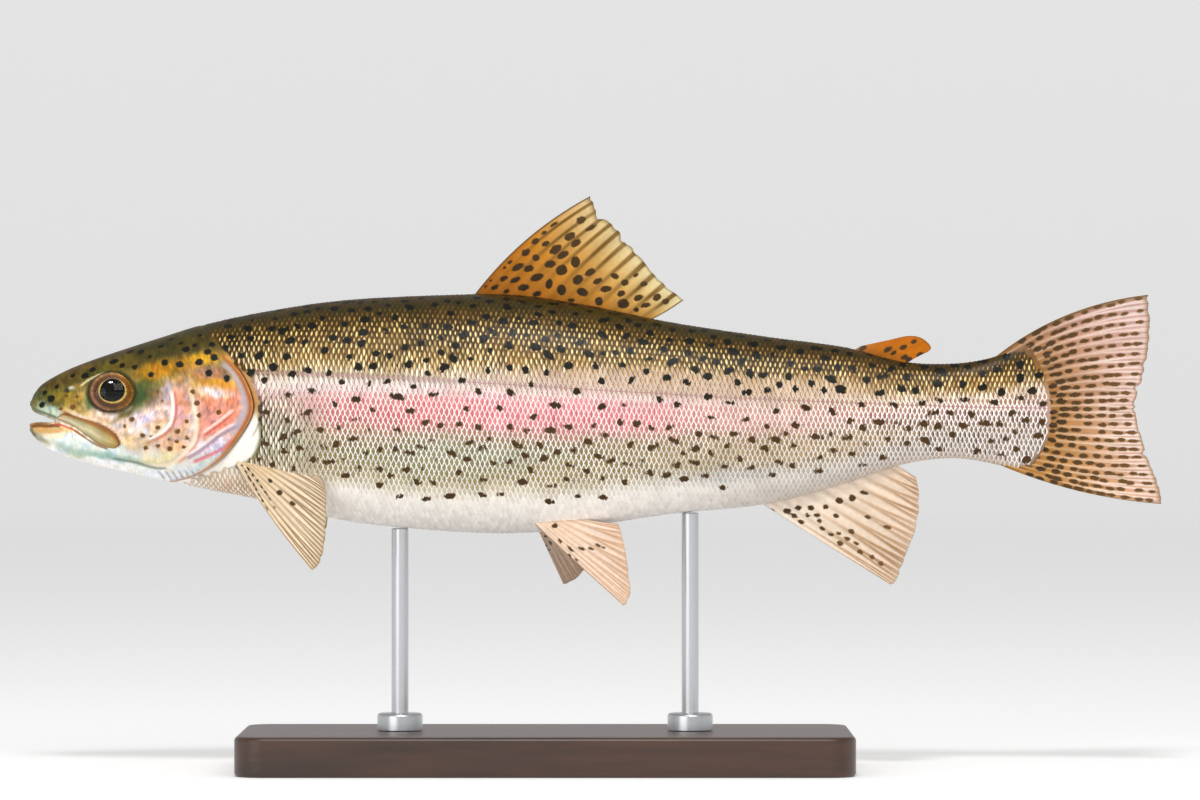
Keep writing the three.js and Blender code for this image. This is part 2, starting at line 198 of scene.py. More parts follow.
# ---------------------------------------------------------------------------------------------------------------
# Meshes


@dataclass
class Grid:
    """A patch of surface: points in rows and columns, with values at each point and a place on the bake's map."""

    points: Array
    values: dict[str, Array] = field(default_factory=dict)
    place: Array | None = None
    wrap: bool = False

    def faces(self) -> Array:
        """Four corners for each cell."""
        rows, columns = self.points.shape[:2]
        index = np.arange(rows * columns).reshape(rows, columns)
        if self.wrap:
            index = np.concatenate([index, index[:, :1]], axis=1)
        a, b, c, d = index[:-1, :-1], index[1:, :-1], index[1:, 1:], index[:-1, 1:]
        return np.stack([a, b, c, d], axis=-1).reshape(-1, 4)


def build_mesh(
    name: str,
    points: Array,
    faces: list[Array],
    values: dict[str, Array] | None = None,
    place: Array | None = None,
    weld: bool = False,
    crease: float | None = None,
) -> bpy.types.Object:
    """Makes an object from whole arrays.

    Args:
        name: the object's name.
        points: millimetres, one point to a row.
        faces: arrays of corner numbers, each with three or four columns.
        values: one number, or a colour of three, for each point.
        place: where each point lies on the bake's map.
        weld: joins points that lie together and turns a closed shell's faces outwards.
        crease: edges sharper than this many degrees stay sharp.

    Returns:
        The object, linked to the scene at the origin.
    """
    mesh = bpy.data.meshes.new(name)
    corners = np.concatenate([f.ravel() for f in faces]).astype(np.int32)
    totals = np.concatenate([np.full(len(f), f.shape[1], np.int32) for f in faces])
    mesh.vertices.add(len(points))
    mesh.vertices.foreach_set("co", (np.asarray(points, float) * MM).astype(np.float32).ravel())
    mesh.loops.add(len(corners))
    mesh.loops.foreach_set("vertex_index", corners)
    mesh.polygons.add(len(totals))
    mesh.polygons.foreach_set("loop_start", np.concatenate([[0], np.cumsum(totals)[:-1]]).astype(np.int32))
    mesh.update(calc_edges=True)
    mesh.polygons.foreach_set("use_smooth", np.ones(len(totals), bool))
    for key, value in (values or {}).items():
        value = np.asarray(value, np.float32)
        if value.ndim == 1:
            mesh.attributes.new(key, "FLOAT", "POINT").data.foreach_set("value", value)
        elif key in VECTORS:
            mesh.attributes.new(key, "FLOAT_VECTOR", "POINT").data.foreach_set("vector", value.ravel())
        else:
            colours = np.concatenate([value, np.ones((len(value), 1), np.float32)], axis=1)
            mesh.attributes.new(key, "FLOAT_COLOR", "POINT").data.foreach_set("color", colours.ravel())
    if place is not None:
        layer = mesh.uv_layers.new(name=BAKE_MAP)
        layer.uv.foreach_set("vector", np.asarray(place, np.float32)[corners].ravel())
    if weld:
        shell = bmesh.new()
        shell.from_mesh(mesh)
        bmesh.ops.remove_doubles(shell, verts=shell.verts, dist=2e-6)
        bmesh.ops.dissolve_degenerate(shell, edges=shell.edges, dist=1e-7)
        if not any(edge.is_boundary for edge in shell.edges):
            bmesh.ops.recalc_face_normals(shell, faces=shell.faces)
        shell.to_mesh(mesh)
        shell.free()
    if crease is not None:
        mesh.set_sharp_from_angle(angle=math.radians(crease))
    mesh.validate()
    made = bpy.data.objects.new(name, mesh)
    bpy.context.scene.collection.objects.link(made)
    return made


def from_grids(name: str, grids: list[Grid], weld: bool = True, crease: float | None = None) -> bpy.types.Object:
    """Joins patches into one object, welded where they touch.

    Args:
        name: the object's name.
        grids: the patches, all with the same values.
        weld: joins points that lie together and turns a closed shell's faces outwards.
        crease: edges sharper than this many degrees stay sharp.

    Returns:
        The object.
    """
    starts = np.cumsum([0] + [g.points.shape[0] * g.points.shape[1] for g in grids])
    faces = [g.faces() + start for g, start in zip(grids, starts)]
    points = np.concatenate([g.points.reshape(-1, 3) for g in grids])
    values = {
        key: np.concatenate([g.values[key].reshape(-1, *g.values[key].shape[2:]) for g in grids])
        for key in grids[0].values
    }
    place = None
    if grids[0].place is not None:
        place = np.concatenate([g.place.reshape(-1, 2) for g in grids])
    return build_mesh(name, points, faces, values, place, weld, crease)


def finish_piece(
    piece: bpy.types.Object, material: bpy.types.Material, nodes: tuple[str, ...]
) -> bpy.types.Object:
    """Dresses a piece and tells the frame what it stands for.

    Args:
        piece: the object.
        material: its finish.
        nodes: the solids it takes the place of, if any.

    Returns:
        The same object.
    """
    piece.data.materials.clear()
    piece.data.materials.append(material)
    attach(piece, BODY)
    if nodes:
        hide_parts(*nodes)
    log.info("%s: %d faces", piece.name, len(piece.data.polygons))
    return piece


# ---------------------------------------------------------------------------------------------------------------
# The body's form


@dataclass
class BodyForm:
    """The body's outer surface, as points at a place along X and a share of the way round from back to belly.

    Each section is a superellipse above its widest line and another below it. Between stations each measure
    follows a cubic whose slope at a station is that of its two neighbours.
    """

    # place along X, height of the back, height of the belly, half the width, height of the widest line
    stations: tuple[tuple[float, ...], ...] = (
        (-200.0, 130.2, 119.4, 2.2, 125.0),
        (-199.0, 132.7, 117.9, 4.0, 125.2),
        (-196.5, 135.9, 115.6, 6.0, 125.5),
        (-192.5, 138.6, 113.0, 8.0, 126.0),
        (-186.0, 141.9, 110.3, 10.5, 126.6),
        (-178.0, 145.0, 108.1, 12.9, 127.2),
        (-168.0, 148.4, 105.8, 15.2, 127.6),
        (-154.0, 152.9, 102.6, 17.6, 127.6),
        (-138.0, 157.8, 99.0, 19.4, 127.4),
        (-118.0, 162.1, 95.2, 20.9, 127.0),
        (-92.0, 166.0, 88.5, 22.4, 126.4),
        (-60.0, 167.9, 84.7, 23.2, 126.0),
        (-30.0, 168.2, 83.5, 23.0, 126.0),
        (-5.0, 164.8, 85.7, 21.9, 125.8),
        (25.0, 158.7, 90.2, 19.4, 125.4),
        (60.0, 153.4, 93.9, 15.6, 125.2),
        (88.0, 149.6, 101.2, 12.0, 126.0),
        (108.0, 144.6, 107.8, 9.0, 126.8),
        (126.0, 143.9, 110.0, 6.8, 127.2),
        (140.0, 146.2, 108.0, 4.8, 127.4),
        (150.0, 150.8, 104.9, 3.2, 127.8),
        (161.0, 155.0, 101.5, 1.3, 128.2),
    )
    upper_rounding: float = 2.2
    lower_rounding: float = 2.05
    row_step: float = 0.5
    ring_steps: int = 256
    lateral_line: Points = (
        (-205, 140), (-128, 140.6), (-104, 139.9), (-67.8, 138.5), (-27.6, 136.0), (20, 133.2), (60, 131.0),
        (126, 128.5), (165, 127.8),
    )
    gill_edge: Points = (
        (-130.5, 172), (-131.2, 156), (-131.5, 148), (-124.5, 139.4), (-120.9, 130.7), (-121.6, 124.6),
        (-126.5, 116.6), (-133.0, 109.2), (-141.0, 104.4), (-151.2, 101.6), (-160, 98),
    )
    scales_start: Points = (
        (-143.0, 160.5), (-139.6, 156.5), (-133.2, 150.1), (-129.4, 146.3), (-125.0, 142.4), (-121.2, 137.3),
        (-119.4, 132.2), (-119.0, 125.9), (-118.6, 120.8), (-118.6, 116.9), (-120.6, 111.8), (-122.8, 109.6),
        (-127.2, 107.6), (-133.6, 105.3), (-141.0, 102.8), (-152.0, 99.0),
    )
    scales_end: Points = (
        (141.0, 147.5), (147.0, 148.0), (152.0, 146.4), (155.8, 143.0), (158.2, 137.5), (159.4, 128.0),
        (158.6, 118.5), (155.8, 112.0), (151.5, 108.4), (146.0, 106.6), (141.0, 106.5),
    )
    viewing_distance: float = 2356.0
    tail_margin: Points = (
        (148, 160), (153.4, 149), (158.6, 138), (160.4, 127.4), (158.8, 116), (153.2, 106.4), (148, 96),
    )

    def __post_init__(self) -> None:
        """Works out the surface once, on a fine table that every later sum reads."""
        table = np.array(self.stations)
        self.first, self.last = float(table[0, 0]), float(table[-1, 0])
        count = int(round((self.last - self.first) / self.row_step)) + 1
        self.rows = np.linspace(self.first, self.last, count)
        self.shares = np.linspace(0, 1, self.ring_steps + 1)
        y, z = self.ring(self.rows, np.linspace(0, math.pi, 1025))
        travelled = np.cumsum(np.hypot(np.diff(y, axis=1), np.diff(z, axis=1)), axis=1)
        travelled = np.concatenate([np.zeros((count, 1)), travelled], axis=1)
        self.half_girth = travelled[:, -1]
        ring = [[np.interp(self.shares * s[-1], s, side) for side in (a, b)] for a, b, s in zip(y, z, travelled)]
        ring = np.array(ring)
        y, z = ring[:, 0], ring[:, 1]
        y[:, [0, -1]] = 0.0
        y_x, y_v = np.gradient(y, self.rows, self.shares)
        z_x, z_v = np.gradient(z, self.rows, self.shares)
        normal = np.stack([y_x * z_v - z_x * y_v, -z_v, y_v], axis=-1)
        normal[:, [0, -1], 1] = 0.0
        normal /= np.linalg.norm(normal, axis=-1, keepdims=True)
        self.table = np.concatenate([np.stack([y, z], axis=-1), normal], axis=-1)
        self.lateral_share = self.share_at(self.rows, self.lateral_height(self.rows))
        self.gill = self.edge_places(self.gill_edge)
        self.tail = self.edge_places(self.tail_margin)
        self.starts = self.edge_places(self.scales_start)
        self.ends = self.edge_places(self.scales_end)

    def profile(self, x: Array) -> Array:
        """The four measures at x, each a cubic between stations."""
        table = np.array(self.stations)
        place, value = table[:, 0], table[:, 1:]
        before, after = np.maximum(np.arange(len(place)) - 1, 0), np.minimum(np.arange(len(place)) + 1, len(place) - 1)
        slope = (value[after] - value[before]) / (place[after] - place[before])[:, None]
        i = np.clip(np.searchsorted(place, x, side="right") - 1, 0, len(place) - 2)
        span = (place[i + 1] - place[i])[..., None]
        t = (np.asarray(x, float) - place[i])[..., None] / span
        return (
            value[i] * (2 * t**3 - 3 * t**2 + 1)
            + slope[i] * span * (t**3 - 2 * t**2 + t)
            + value[i + 1] * (3 * t**2 - 2 * t**3)
            + slope[i + 1] * span * (t**3 - t**2)
        )

    def ring(self, x: Array, angle: Array) -> tuple[Array, Array]:
        """The right half of the sections at x: y = sin^(2/n) half and z = side + cos^(2/n) reach, signs kept."""
        back, belly, half, side = (m[:, None] for m in self.profile(x).T)
        up, out = np.cos(angle)[None], np.abs(np.sin(angle))[None]
        power = np.where(up > 0, 2 / self.upper_rounding, 2 / self.lower_rounding)
        reach = np.where(up > 0, back - side, side - belly)
        return out**power * half, side + np.sign(up) * np.abs(up) ** power * reach

    def sample(self, x: Array, share: Array) -> Array:
        """y, z and the outward normal on the right side, blended between the table's four nearest entries."""
        a = np.clip((x - self.first) / self.row_step, 0, len(self.rows) - 1.000001)
        b = np.clip(share * self.ring_steps, 0, self.ring_steps - 1e-6)
        i, j = a.astype(int), b.astype(int)
        p, q = (a - i)[..., None], (b - j)[..., None]
        near = self.table[i, j] * (1 - p) + self.table[i + 1, j] * p
        far = self.table[i, j + 1] * (1 - p) + self.table[i + 1, j + 1] * p
        return near * (1 - q) + far * q

    def surface(self, x: Array, share: Array, side: Array | int = Side.RIGHT, lift: Array | float = 0.0) -> Array:
        """Points on the body.

        Args:
            x: places along X.
            share: how far round from back (0) to belly (1); past either end it carries on down the other side.
            side: Side.RIGHT or Side.LEFT.
            lift: height above the surface, along its normal.

        Returns:
            The points, in millimetres.
        """
        x, share = np.broadcast_arrays(np.asarray(x, float), np.asarray(share, float))
        over = (share < 0) | (share > 1)
        folded = np.where(share < 0, -share, np.where(share > 1, 2 - share, share))
        found = self.sample(x, folded)
        normal = found[..., 2:] / np.linalg.norm(found[..., 2:], axis=-1, keepdims=True)
        lift = np.asarray(lift, float)
        mirror = np.asarray(side) * np.where(over, -1.0, 1.0)
        return np.stack(
            [
                x + normal[..., 0] * lift,
                (found[..., 0] + normal[..., 1] * lift) * mirror,
                found[..., 1] + normal[..., 2] * lift,
            ],
            axis=-1,
        )

    def height(self, x: Array, share: Array) -> Array:
        """The height of a place on the body."""
        return self.sample(np.asarray(x, float), np.asarray(share, float))[..., 1]

    def girth(self, x: Array) -> Array:
        """How far it is round the body at x from back to belly."""
        return np.interp(x, self.rows, self.half_girth)

    def share_at(self, x: Array, z: Array) -> Array:
        """How far round the body a height lies, found by halving the range twenty times."""
        low, high = np.zeros(np.shape(x)), np.ones(np.shape(x))
        for _ in range(20):
            middle = (low + high) / 2
            above = self.height(x, middle) > z
            low, high = np.where(above, middle, low), np.where(above, high, middle)
        return (low + high) / 2

    def lateral_height(self, x: Array) -> Array:
        """The height of the lateral line at x."""
        line = Curve(self.lateral_line).line(200)
        return np.interp(x, line[:, 0], line[:, 1])

    def share_from(self, x: Array, distance: Array) -> Array:
        """How far round a place lies that is this far below the lateral line, measured over the surface."""
        return np.interp(x, self.rows, self.lateral_share) + distance / self.girth(x)

    def edge_places(self, edge: Points) -> tuple[Array, Array]:
        """An edge drawn from the side, as its places along X against its shares of the way round."""
        line = Curve(edge).line(240)
        share = self.share_at(line[:, 0], line[:, 1])
        order = np.argsort(share, kind="stable")
        return share[order], line[order, 0]

    def seen(self, x: Array, share: Array) -> tuple[Array, Array]:
        """Where a place appears from the side: x grows by y over the viewing distance, and its height."""
        found = self.sample(np.asarray(x, float), np.asarray(share, float))
        return x * (1 + found[..., 0] / self.viewing_distance), found[..., 1]

    def side_place(self, x: Array, z: Array, side: int, lift: Array | float = 0.0) -> Array:
        """The point of the body seen at x and z from one side."""
        return self.surface(x, self.share_at(x, z), side, lift)

    def depth_share(self, x: Array, z: Array) -> Array:
        """How far down a height lies between back (0) and belly (1)."""
        back, belly = self.profile(x)[..., 0], self.profile(x)[..., 1]
        return np.clip((back - z) / (back - belly), 0.0, 1.0)


# ---------------------------------------------------------------------------------------------------------------
# Colours and markings


@dataclass(frozen=True)
class Blob:
    """A soft patch of colour on the head: an ellipse whose strength falls to nothing at its edge."""

    x: float
    z: float
    long: float
    high: float
    turn: float
    colour: tuple[int, int, int]
    strength: float
    hard: float = 0.25

    def weight(self, x: Array, z: Array) -> Array:
        """Full inside the share `hard` of the ellipse, falling smoothly to 0 at 1.25 of it."""
        c, s = math.cos(self.turn), math.sin(self.turn)
        # a positive turn lowers the end nearer the tail
        p = ((x - self.x) * c - (z - self.z) * s) / self.long
        q = ((x - self.x) * s + (z - self.z) * c) / self.high
        return self.strength * (1 - smoothstep(self.hard, 1.25, np.hypot(p, q)))


@dataclass(frozen=True)
class Stroke:
    """A line of colour on the head, drawn along a smooth curve."""

    path: Points
    width: float
    colour: tuple[int, int, int]
    strength: float
    taper: float = 0.12

    def weight(self, x: Array, z: Array) -> Array:
        """Full to 0.35 of the width, falling to 0 at the width; at each end it fades to 0.15 of that."""
        gap, along = from_line(x, z, Curve(self.path).line())
        ends = band(along, 0, self.taper, 1 - self.taper, 1)
        return self.strength * (1 - smoothstep(0.35, 1.0, gap / self.width)) * (0.15 + 0.85 * ends)


GILL_RIM: Points = (
    (-133.6, 144.5), (-128.6, 141.3), (-125.5, 135.7), (-124.4, 131.1), (-124.3, 127.6), (-126.6, 122.6),
    (-130.6, 117.4),
)
PREOPERCLE: Points = (
    (-144.2, 136.0), (-142.2, 128.3), (-141.5, 122.3), (-142.2, 117.3), (-143.8, 114.5), (-147.0, 111.0),
    (-150.2, 108.7), (-154.8, 107.8), (-159.4, 108.5),
)
CHEEK_CREASE: Points = (
    (-150.7, 135.0), (-149.8, 130.0), (-150.3, 124.2), (-151.9, 121.2), (-155.5, 118.4), (-159.7, 116.8),
)
OPERCLE_RIDGE: Points = ((-139.6, 119.1), (-133.7, 123.3), (-128.3, 127.6))
SUBOPERCLE_RIDGE: Points = ((-145.2, 109.9), (-139.9, 113.1), (-132.5, 118.7), (-127.2, 121.6))
INTEROPERCLE_RIDGE: Points = ((-143.1, 108.7), (-137.8, 111.0), (-131.8, 114.1), (-128.3, 117.7))
BROW: Points = ((-182.5, 135.7), (-179.2, 138.2), (-173.9, 140.3))
JAW_TOP: Points = (
    (-189.1, 126.6), (-186.6, 125.3), (-182.2, 123.4), (-179.0, 122.8), (-174.6, 121.2), (-170.8, 118.7),
    (-169.2, 116.5), (-168.8, 114.6),
)
LIP_LINE: Points = (
    (-191.6, 122.3), (-189.6, 122.1), (-187.4, 121.3), (-184.8, 120.2), (-180.9, 117.6), (-177.1, 115.2),
    (-172.9, 113.6),
)
THROAT_LINE: Points = ((-172.1, 110.2), (-163.2, 108.6), (-155.7, 106.7), (-151.9, 106.7))
GOLD_SLIVER: Points = ((-131.4, 146.8), (-128.5, 144.2), (-125.9, 140.9))
EYE_X, EYE_Z = -171.4, 133.5
GILL_STROKES: tuple[Points, ...] = tuple(
    ((-155.0 + 2.3 * k, 105.8 + 0.1 * k), (-152.4 + 2.3 * k, 102.6 + 0.1 * k)) for k in range(9)
)


@dataclass
class Livery:
    """The trout's colours. The body's follow ramps from back to belly that change along X; the head's are
    patches and lines laid over its own ramp."""

    form: BodyForm
    # name, depth from back (0) to belly (1), colour ahead, colour on the tail stalk
    zones: tuple[tuple[str, float, tuple[int, int, int], tuple[int, int, int]], ...] = (
        ("ridge", 0.00, (78, 54, 18), (74, 52, 16)),
        ("back", 0.03, (54, 46, 14), (58, 44, 12)),
        ("shoulder", 0.10, (84, 60, 18), (90, 60, 14)),
        ("upper flank", 0.18, (126, 88, 22), (138, 92, 12)),
        ("gold flank", 0.28, (170, 126, 48), (170, 120, 28)),
        ("pale line", 0.37, (216, 190, 180), (178, 134, 84)),
        ("rose", 0.50, (200, 130, 128), (176, 136, 124)),
        ("grey-green", 0.66, (130, 114, 70), (158, 136, 120)),
        ("low flank", 0.78, (158, 138, 94), (154, 138, 126)),
        ("pale belly", 0.87, (250, 243, 232), (164, 148, 136)),
        ("belly", 1.00, (255, 250, 244), (186, 164, 146)),
    )
    stalk_from: float = 20
    stalk_to: float = 135

    def ramp(self, depth: Array, column: int) -> Array:
        """One column of the zones at a depth, each channel straight between zones."""
        stops = [zone[1] for zone in self.zones]
        table = np.array([zone[column] for zone in self.zones], float)
        return gradient(depth, stops, table)

    @staticmethod
    def tan_band(x: Array, depth: Array) -> Array:
        """Strength of the plain tan band that lies above the lateral line behind the middle of the body."""
        above = smoothstep(0.30 - 0.10 * smoothstep(-50, 40, x), 0.36 - 0.08 * smoothstep(-50, 40, x), depth)
        return above * (1 - smoothstep(0.37, 0.42, depth)) * smoothstep(-70, 0, x) * (1 - smoothstep(75, 110, x))

    def body_colour(self, x: Array, z: Array) -> Array:
        """Screen colour of the body: its zones, blended towards the tail stalk's, with soft clouds and patches."""
        depth = self.form.depth_share(x, z)
        drift = (ripple(x, z, 9.0, 11) - 0.5) * 0.035 + (ripple(x, z, 3.0, 12) - 0.5) * 0.02
        depth = np.clip(depth + drift, 0, 1)
        colour = mix(self.ramp(depth, 2), self.ramp(depth, 3), smoothstep(self.stalk_from, self.stalk_to, x))
        rose = band(depth, 0.40, 0.45, 0.56, 0.60)
        rose = rose * smoothstep(-118, -70, x) * (1 - smoothstep(-5, 65, x)) * (0.3 + 0.7 * ripple(x, z, 12.0, 13))
        lay(colour, 0.75 * rose, mix((226, 134, 146), (212, 116, 104), smoothstep(-30, -75, x)))
        for tint, middle, spread, at, reach, share in (
            ((146, 158, 144), 0.67, 0.06, -45, 38, 0.5),
            ((150, 152, 112), 0.76, 0.05, -62, 24, 0.5),
            ((180, 184, 196), 0.81, 0.06, 48, 36, 0.6),
            ((168, 144, 112), 0.67, 0.08, 38, 36, 0.85),
            ((206, 170, 128), 0.70, 0.08, 96, 22, 0.4),
            ((176, 164, 126), 0.60, 0.16, -112, 16, 0.6),
            ((150, 140, 150), 0.92, 0.05, 92, 22, 0.4),
            ((190, 146, 104), 0.40, 0.06, 78, 36, 0.6),
            ((206, 166, 154), 0.50, 0.06, 62, 34, 0.75),
            ((184, 150, 110), 0.70, 0.10, 76, 30, 0.5),
            ((194, 184, 170), 0.94, 0.09, 74, 26, 0.6),
            ((214, 176, 140), 0.96, 0.09, -126, 18, 0.85),
        ):
            patch = np.exp(-(((depth - middle) / spread) ** 2) - ((x - at) / reach) ** 2) * share
            lay(colour, patch, tint)
        lay(colour, 0.75 * self.tan_band(x, depth), (186, 148, 116))
        cloud = ripple(x, z, 5.0, 14) - 0.5
        return colour * (1 + 0.10 * cloud[..., None] * (1 - smoothstep(0.8, 0.9, depth)[..., None]))

    def head_blobs(self) -> tuple[Blob, ...]:
        """The head's patches, the later ones laid over the earlier."""
        rows = (
            (-150.6, 151.2, 30.0, 5.2, -0.27, (66, 56, 16), 0.95),  # crown
            (-186.6, 139.4, 15.5, 3.9, -0.52, (88, 68, 22), 0.9),  # top of the snout
            (-192.9, 131.0, 8.2, 5.0, -0.4, (84, 84, 32), 0.9),  # side of the snout
            (-197.6, 131.0, 3.8, 5.0, -0.6, (82, 84, 46), 0.8),  # tip of the snout
            (-186.6, 130.6, 6.9, 4.4, 0.2, (136, 108, 22), 0.8),  # lore
            (-182.2, 126.9, 6.9, 2.3, 0.35, (182, 142, 50), 0.75),
            (-192.6, 126.7, 6.9, 2.6, 0.45, (166, 190, 184), 0.9),  # lower snout
            (-172.1, 141.7, 12.0, 3.8, -0.28, (98, 84, 24), 0.85),  # brow
            (-159.0, 135.8, 4.8, 6.9, -0.1, (78, 84, 30), 0.85),  # behind the eye
            (-153.2, 141.7, 12.0, 3.8, -0.22, (182, 120, 4), 0.9),  # temple
            (-138.6, 145.3, 8.6, 3.0, -0.1, (210, 152, 16), 0.95),  # nape
            (-137.4, 139.6, 8.0, 4.0, 0.1, (170, 122, 76), 0.85),
            (-156.9, 131.6, 5.7, 5.0, 0.0, (124, 98, 58), 0.8),  # cheek, upper
            (-159.5, 124.6, 8.4, 4.6, -0.2, (222, 196, 196), 0.95),  # cheek
            (-151.6, 133.6, 2.6, 5.4, 0.0, (178, 160, 178), 0.7),
            (-172.1, 122.6, 10.5, 4.2, 0.35, (222, 196, 180), 0.95),  # below the eye
            (-153.8, 126.6, 3.8, 6.9, 0.1, (226, 188, 168), 0.75),
            (-163.2, 115.9, 9.4, 4.2, 0.1, (214, 182, 142), 0.9),  # lower cheek
            (-146.8, 128.5, 4.2, 11.2, 0.05, (214, 148, 134), 0.9),  # groove behind the cheek
            (-147.5, 131.6, 2.5, 3.8, 0.0, (226, 150, 112), 0.7),
            (-150.0, 116.0, 7.6, 6.2, 0.0, (214, 166, 132), 0.85),
            (-153.8, 110.2, 11.2, 3.0, -0.1, (234, 220, 174), 0.95),  # foot of the groove
            (-132.3, 127.6, 10.6, 10.0, 0.0, (220, 138, 112), 0.95, 0.5),  # gill cover
            (-136.6, 140.4, 8.2, 2.6, 0.1, (150, 104, 84), 0.7),
            (-134.2, 136.6, 8.2, 1.9, 0.1, (206, 144, 34), 0.95),
            # painted highlight: a white streak on the gill cover
            (-134.9, 133.6, 7.2, 2.4, 0.1, (246, 226, 220), 0.95),
            (-136.1, 120.9, 8.2, 4.2, -0.5, (228, 134, 116), 0.85),
            (-136.4, 115.2, 11.8, 2.5, -0.5, (232, 198, 200), 0.9),  # lower plates of the cover
            (-137.4, 110.0, 12.6, 3.2, -0.62, (196, 208, 212), 0.9),
            (-180.3, 115.6, 17.0, 4.6, 0.25, (226, 236, 232), 0.98, 0.5),  # lower jaw
            (-172.1, 110.4, 16.4, 2.2, 0.18, (136, 176, 160), 0.75),
            (-186.0, 112.8, 8.0, 2.0, 0.42, (160, 186, 168), 0.6),
            (-195.8, 120.6, 4.8, 2.3, 0.15, (196, 140, 56), 0.95),  # lower lip
            (-188.5, 120.4, 5.9, 1.8, 0.2, (238, 220, 164), 0.95),
            (-197.0, 117.4, 5.0, 2.1, 0.6, (146, 140, 104), 0.75),  # chin
            (-165.2, 106.2, 22.0, 2.3, 0.2, (246, 244, 240), 0.95, 0.5),  # throat
            (-178.2, 131.6, 3.0, 5.0, 0.2, (44, 84, 22), 0.9),  # green round the eye, ahead
            (-161.8, 131.6, 3.6, 5.8, 0.2, (50, 76, 26), 0.9),  # and behind
            (-166.6, 126.0, 5.6, 1.7, -0.5, (70, 66, 26), 0.8),  # and below
            (-187.2, 134.0, 1.2, 1.0, 0.0, (40, 38, 16), 0.9),  # nostrils
            (-185.6, 134.7, 1.0, 0.9, 0.0, (226, 228, 214), 0.85),
        )
        return tuple(Blob(*row) for row in rows)

    def head_strokes(self) -> tuple[Stroke, ...]:
        """The head's lines, laid over its patches. The dark lines moved off the preopercle, the cheek crease and the
        opercle ridge, and the brown line along the jaw's top, are painted shade.
        """
        return (
            Stroke(GILL_RIM, 2.0, (178, 170, 182), 0.85),
            Stroke(GOLD_SLIVER, 1.6, (232, 170, 40), 0.95),
            Stroke(PREOPERCLE, 1.2, (246, 228, 200), 0.95),
            # painted shade beside the preopercle's groove
            Stroke(shifted(PREOPERCLE[:7], 1.3, -0.4), 0.8, (196, 120, 96), 0.5),
            Stroke(CHEEK_CREASE, 1.0, (250, 240, 232), 0.95),
            # painted shade beside the cheek crease
            Stroke(shifted(CHEEK_CREASE, 1.2, -0.6), 0.8, (190, 104, 90), 0.7),
            Stroke(OPERCLE_RIDGE, 0.8, (252, 220, 206), 0.85),
            # painted shade below the opercle ridge
            Stroke(shifted(OPERCLE_RIDGE, 0.6, -0.9), 0.7, (200, 96, 84), 0.7),
            Stroke(SUBOPERCLE_RIDGE, 0.9, (150, 132, 150), 0.7),
            Stroke(shifted(SUBOPERCLE_RIDGE, -0.5, 1.1), 0.8, (246, 226, 224), 0.8),
            Stroke(INTEROPERCLE_RIDGE, 0.9, (214, 116, 128), 0.85),
            Stroke(BROW, 0.6, (232, 222, 170), 0.8),
            # painted shade: a dark brown line under the jaw plate's upper edge
            Stroke(JAW_TOP, 1.1, (118, 64, 22), 0.95),
            Stroke(shifted(JAW_TOP, 0.5, 1.5), 0.8, (240, 208, 176), 0.6),
            Stroke(((-196.4, 118.6), (-191.5, 118.3), (-186.6, 118.6)), 1.5, (246, 234, 200), 0.85, 0.3),
            Stroke(((-199.6, 120.6), (-196, 120.1), (-192, 120), (-188, 120.7)), 1.4, (216, 168, 104), 0.9, 0.1),
            Stroke(((-200.2, 121.4), (-197.2, 121.9), (-193.4, 121.7), (-189.6, 122.0)), 0.9, (118, 70, 26), 0.9, 0.05),
            Stroke(((-200.4, 121.0), (-199.9, 119.2), (-198.6, 117.6)), 1.5, (92, 84, 48), 0.8, 0.2),
            Stroke(((-199.6, 128.4), (-197.6, 127.0), (-194.4, 125.9), (-190.4, 124.3)), 0.7, (96, 104, 84), 0.8, 0.1),
            Stroke(LIP_LINE[:5], 0.5, (206, 84, 70), 0.9, 0.05),
            Stroke(LIP_LINE[3:], 0.6, (150, 108, 70), 0.8, 0.05),
            Stroke(THROAT_LINE, 0.7, (110, 120, 104), 0.6),
            *(Stroke(path, 0.45, (130, 134, 150), 0.65, 0.3) for path in GILL_STROKES),
        )

    def head_colour(self, x: Array, z: Array) -> Array:
        """Screen colour of the head: a ramp from back to throat, then every patch, line and the dark rim."""
        depth = self.form.depth_share(x, z)
        stops = (0, 0.05, 0.14, 0.3, 0.5, 0.7, 0.85, 1.0)
        ramp = (
            (66, 56, 20), (68, 58, 20), (76, 68, 26), (168, 136, 70), (216, 190, 168), (224, 206, 188), (232, 230, 220),
            (242, 240, 236),
        )
        colour = gradient(depth, stops, ramp)
        wander_x = x + (ripple(x, z, 2.4, 21) - 0.5) * 1.8
        wander_z = z + (ripple(x, z, 2.4, 22) - 0.5) * 1.2
        for blob in self.head_blobs():
            lay(colour, blob.weight(wander_x, wander_z), blob.colour)
        flecks = (ripple(x * 2.2 + z * 0.5, z * 0.6, 0.8, 23) - 0.5) * 0.36 + (ripple(x, z, 1.6, 24) - 0.5) * 0.34
        flecks = flecks * (1 - 0.7 * smoothstep(0.72, 0.82, depth))
        warmth = (ripple(x * 0.8, z * 1.2, 1.9, 25) - 0.5)[..., None] * np.array((0.14, 0.0, -0.3))
        colour = colour * (1 + flecks[..., None] + warmth * (1 - 0.6 * smoothstep(0.72, 0.82, depth))[..., None])
        lid = bell(np.hypot((x - EYE_X) / 8.5, (z - EYE_Z) / 7.25) - 0.98, 0.08)
        lay(colour, 0.9 * lid, (38, 40, 14))
        for stroke in self.head_strokes():
            lay(colour, stroke.weight(x, z), stroke.colour)
        lay(colour, 0.35 * (1 - smoothstep(0.0, 0.02, depth)), (90, 60, 22))
        return colour

    def behind_gill(self, x: Array, share: Array) -> Array:
        """How far behind the gill cover's edge a place lies along X."""
        return x - np.interp(share, *self.form.gill)

